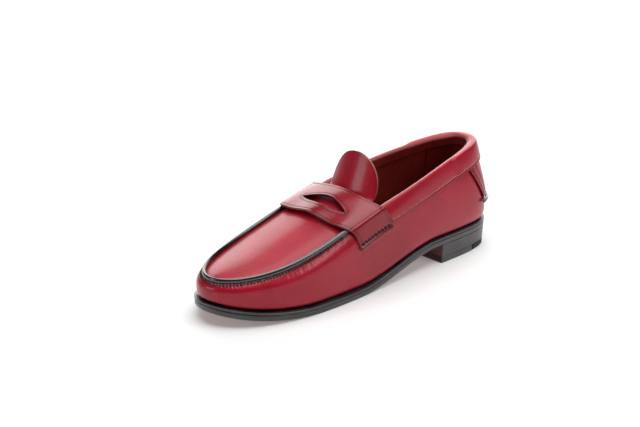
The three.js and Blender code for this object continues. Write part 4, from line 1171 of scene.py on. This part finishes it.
studio = {
    "floor": 6.0, "world": 0.08, "glow": 0.2,
    "lamps": {  # place, aim, size, power
        "top": ((0.1, 0.0, 1.2), (0, 0, 0.02), (1.3, 1.3), 19),
        "backdrop": ((-1.25, 1.15, 0.8), (0, 0, 0.1), (3.0, 1.5), 40),
        "front": ((-0.6, -1.3, 0.5), (0, -0.06, 0.04), (0.5, 0.4), 3),
        "side": ((1.3, 0.6, 0.9), (0, 0.04, 0.05), (0.5, 0.6), 5),
    },
}
floorMesh = bpy.data.meshes.new("floor")
reach = studio["floor"] / 2
corners = [(-reach, -reach, 0), (reach, -reach, 0), (reach, reach, 0), (-reach, reach, 0)]
floorMesh.from_pydata(corners, [], [(0, 1, 2, 3)])
floor = bpy.data.objects.new("floor", floorMesh)
bpy.context.scene.collection.objects.link(floor)
glow = {"Emission_Color": (1, 1, 1, 1), "Emission_Strength": studio["glow"]}
floorFinish = Finish("floor_paint", Specular_IOR_Level=0.1, **glow)
dust = floorFinish.noise(3, 2)
floorMesh.materials.append(floorFinish.wear(
    Base_Color=floorFinish.tint(dust, (0.66, 0.65, 0.65, 1), (0.69, 0.68, 0.68, 1)), Roughness=0.8 + dust * 0.1))

world = bpy.data.worlds.new("studio")
world.use_nodes = True
world.node_tree.nodes["Background"].inputs["Color"].default_value = (1, 1, 1, 1)
world.node_tree.nodes["Background"].inputs["Strength"].default_value = studio["world"]
bpy.context.scene.world = world
bpy.context.scene.view_settings.view_transform = "Standard"
for name, (place, aim, size, power) in studio["lamps"].items():
    lamp = bpy.data.lights.new(name, "AREA")
    lamp.shape, lamp.size, lamp.size_y, lamp.energy = "RECTANGLE", size[0], size[1], power
    holder = bpy.data.objects.new(name, lamp)
    holder.location = place
    holder.rotation_euler = (Vector(aim) - Vector(place)).to_track_quat("-Z", "Y").to_euler()
    bpy.context.scene.collection.objects.link(holder)

view = {
    "azimuth": 47.7, "elevation": 21.1, "distance": 1.38, "lens": 94.16, "shift": (-0.0397, 0.0259), "roll": 0.17,
}
turn, tilt, roll = (math.radians(view[key]) for key in ("azimuth", "elevation", "roll"))
away = Vector((math.sin(turn) * math.cos(tilt), -math.cos(turn) * math.cos(tilt), math.sin(tilt)))
right = Vector((math.cos(turn), math.sin(turn), 0))
above = away.cross(right)
right, above = right * math.cos(roll) + above * math.sin(roll), above * math.cos(roll) - right * math.sin(roll)
target = Vector((frameShift[0] / 1000, frameShift[1] / 1000, 0.04))
camera = bpy.data.cameras.new("camera")
camera.lens, camera.sensor_width, (camera.shift_x, camera.shift_y) = view["lens"], 36, view["shift"]
holder = bpy.data.objects.new("camera", camera)
facing = Matrix((right, above, away)).transposed()
holder.matrix_world = Matrix.LocRotScale(target + away * view["distance"], facing, None)
bpy.context.scene.collection.objects.link(holder)
bpy.context.scene.camera = holder

print("scene ready")
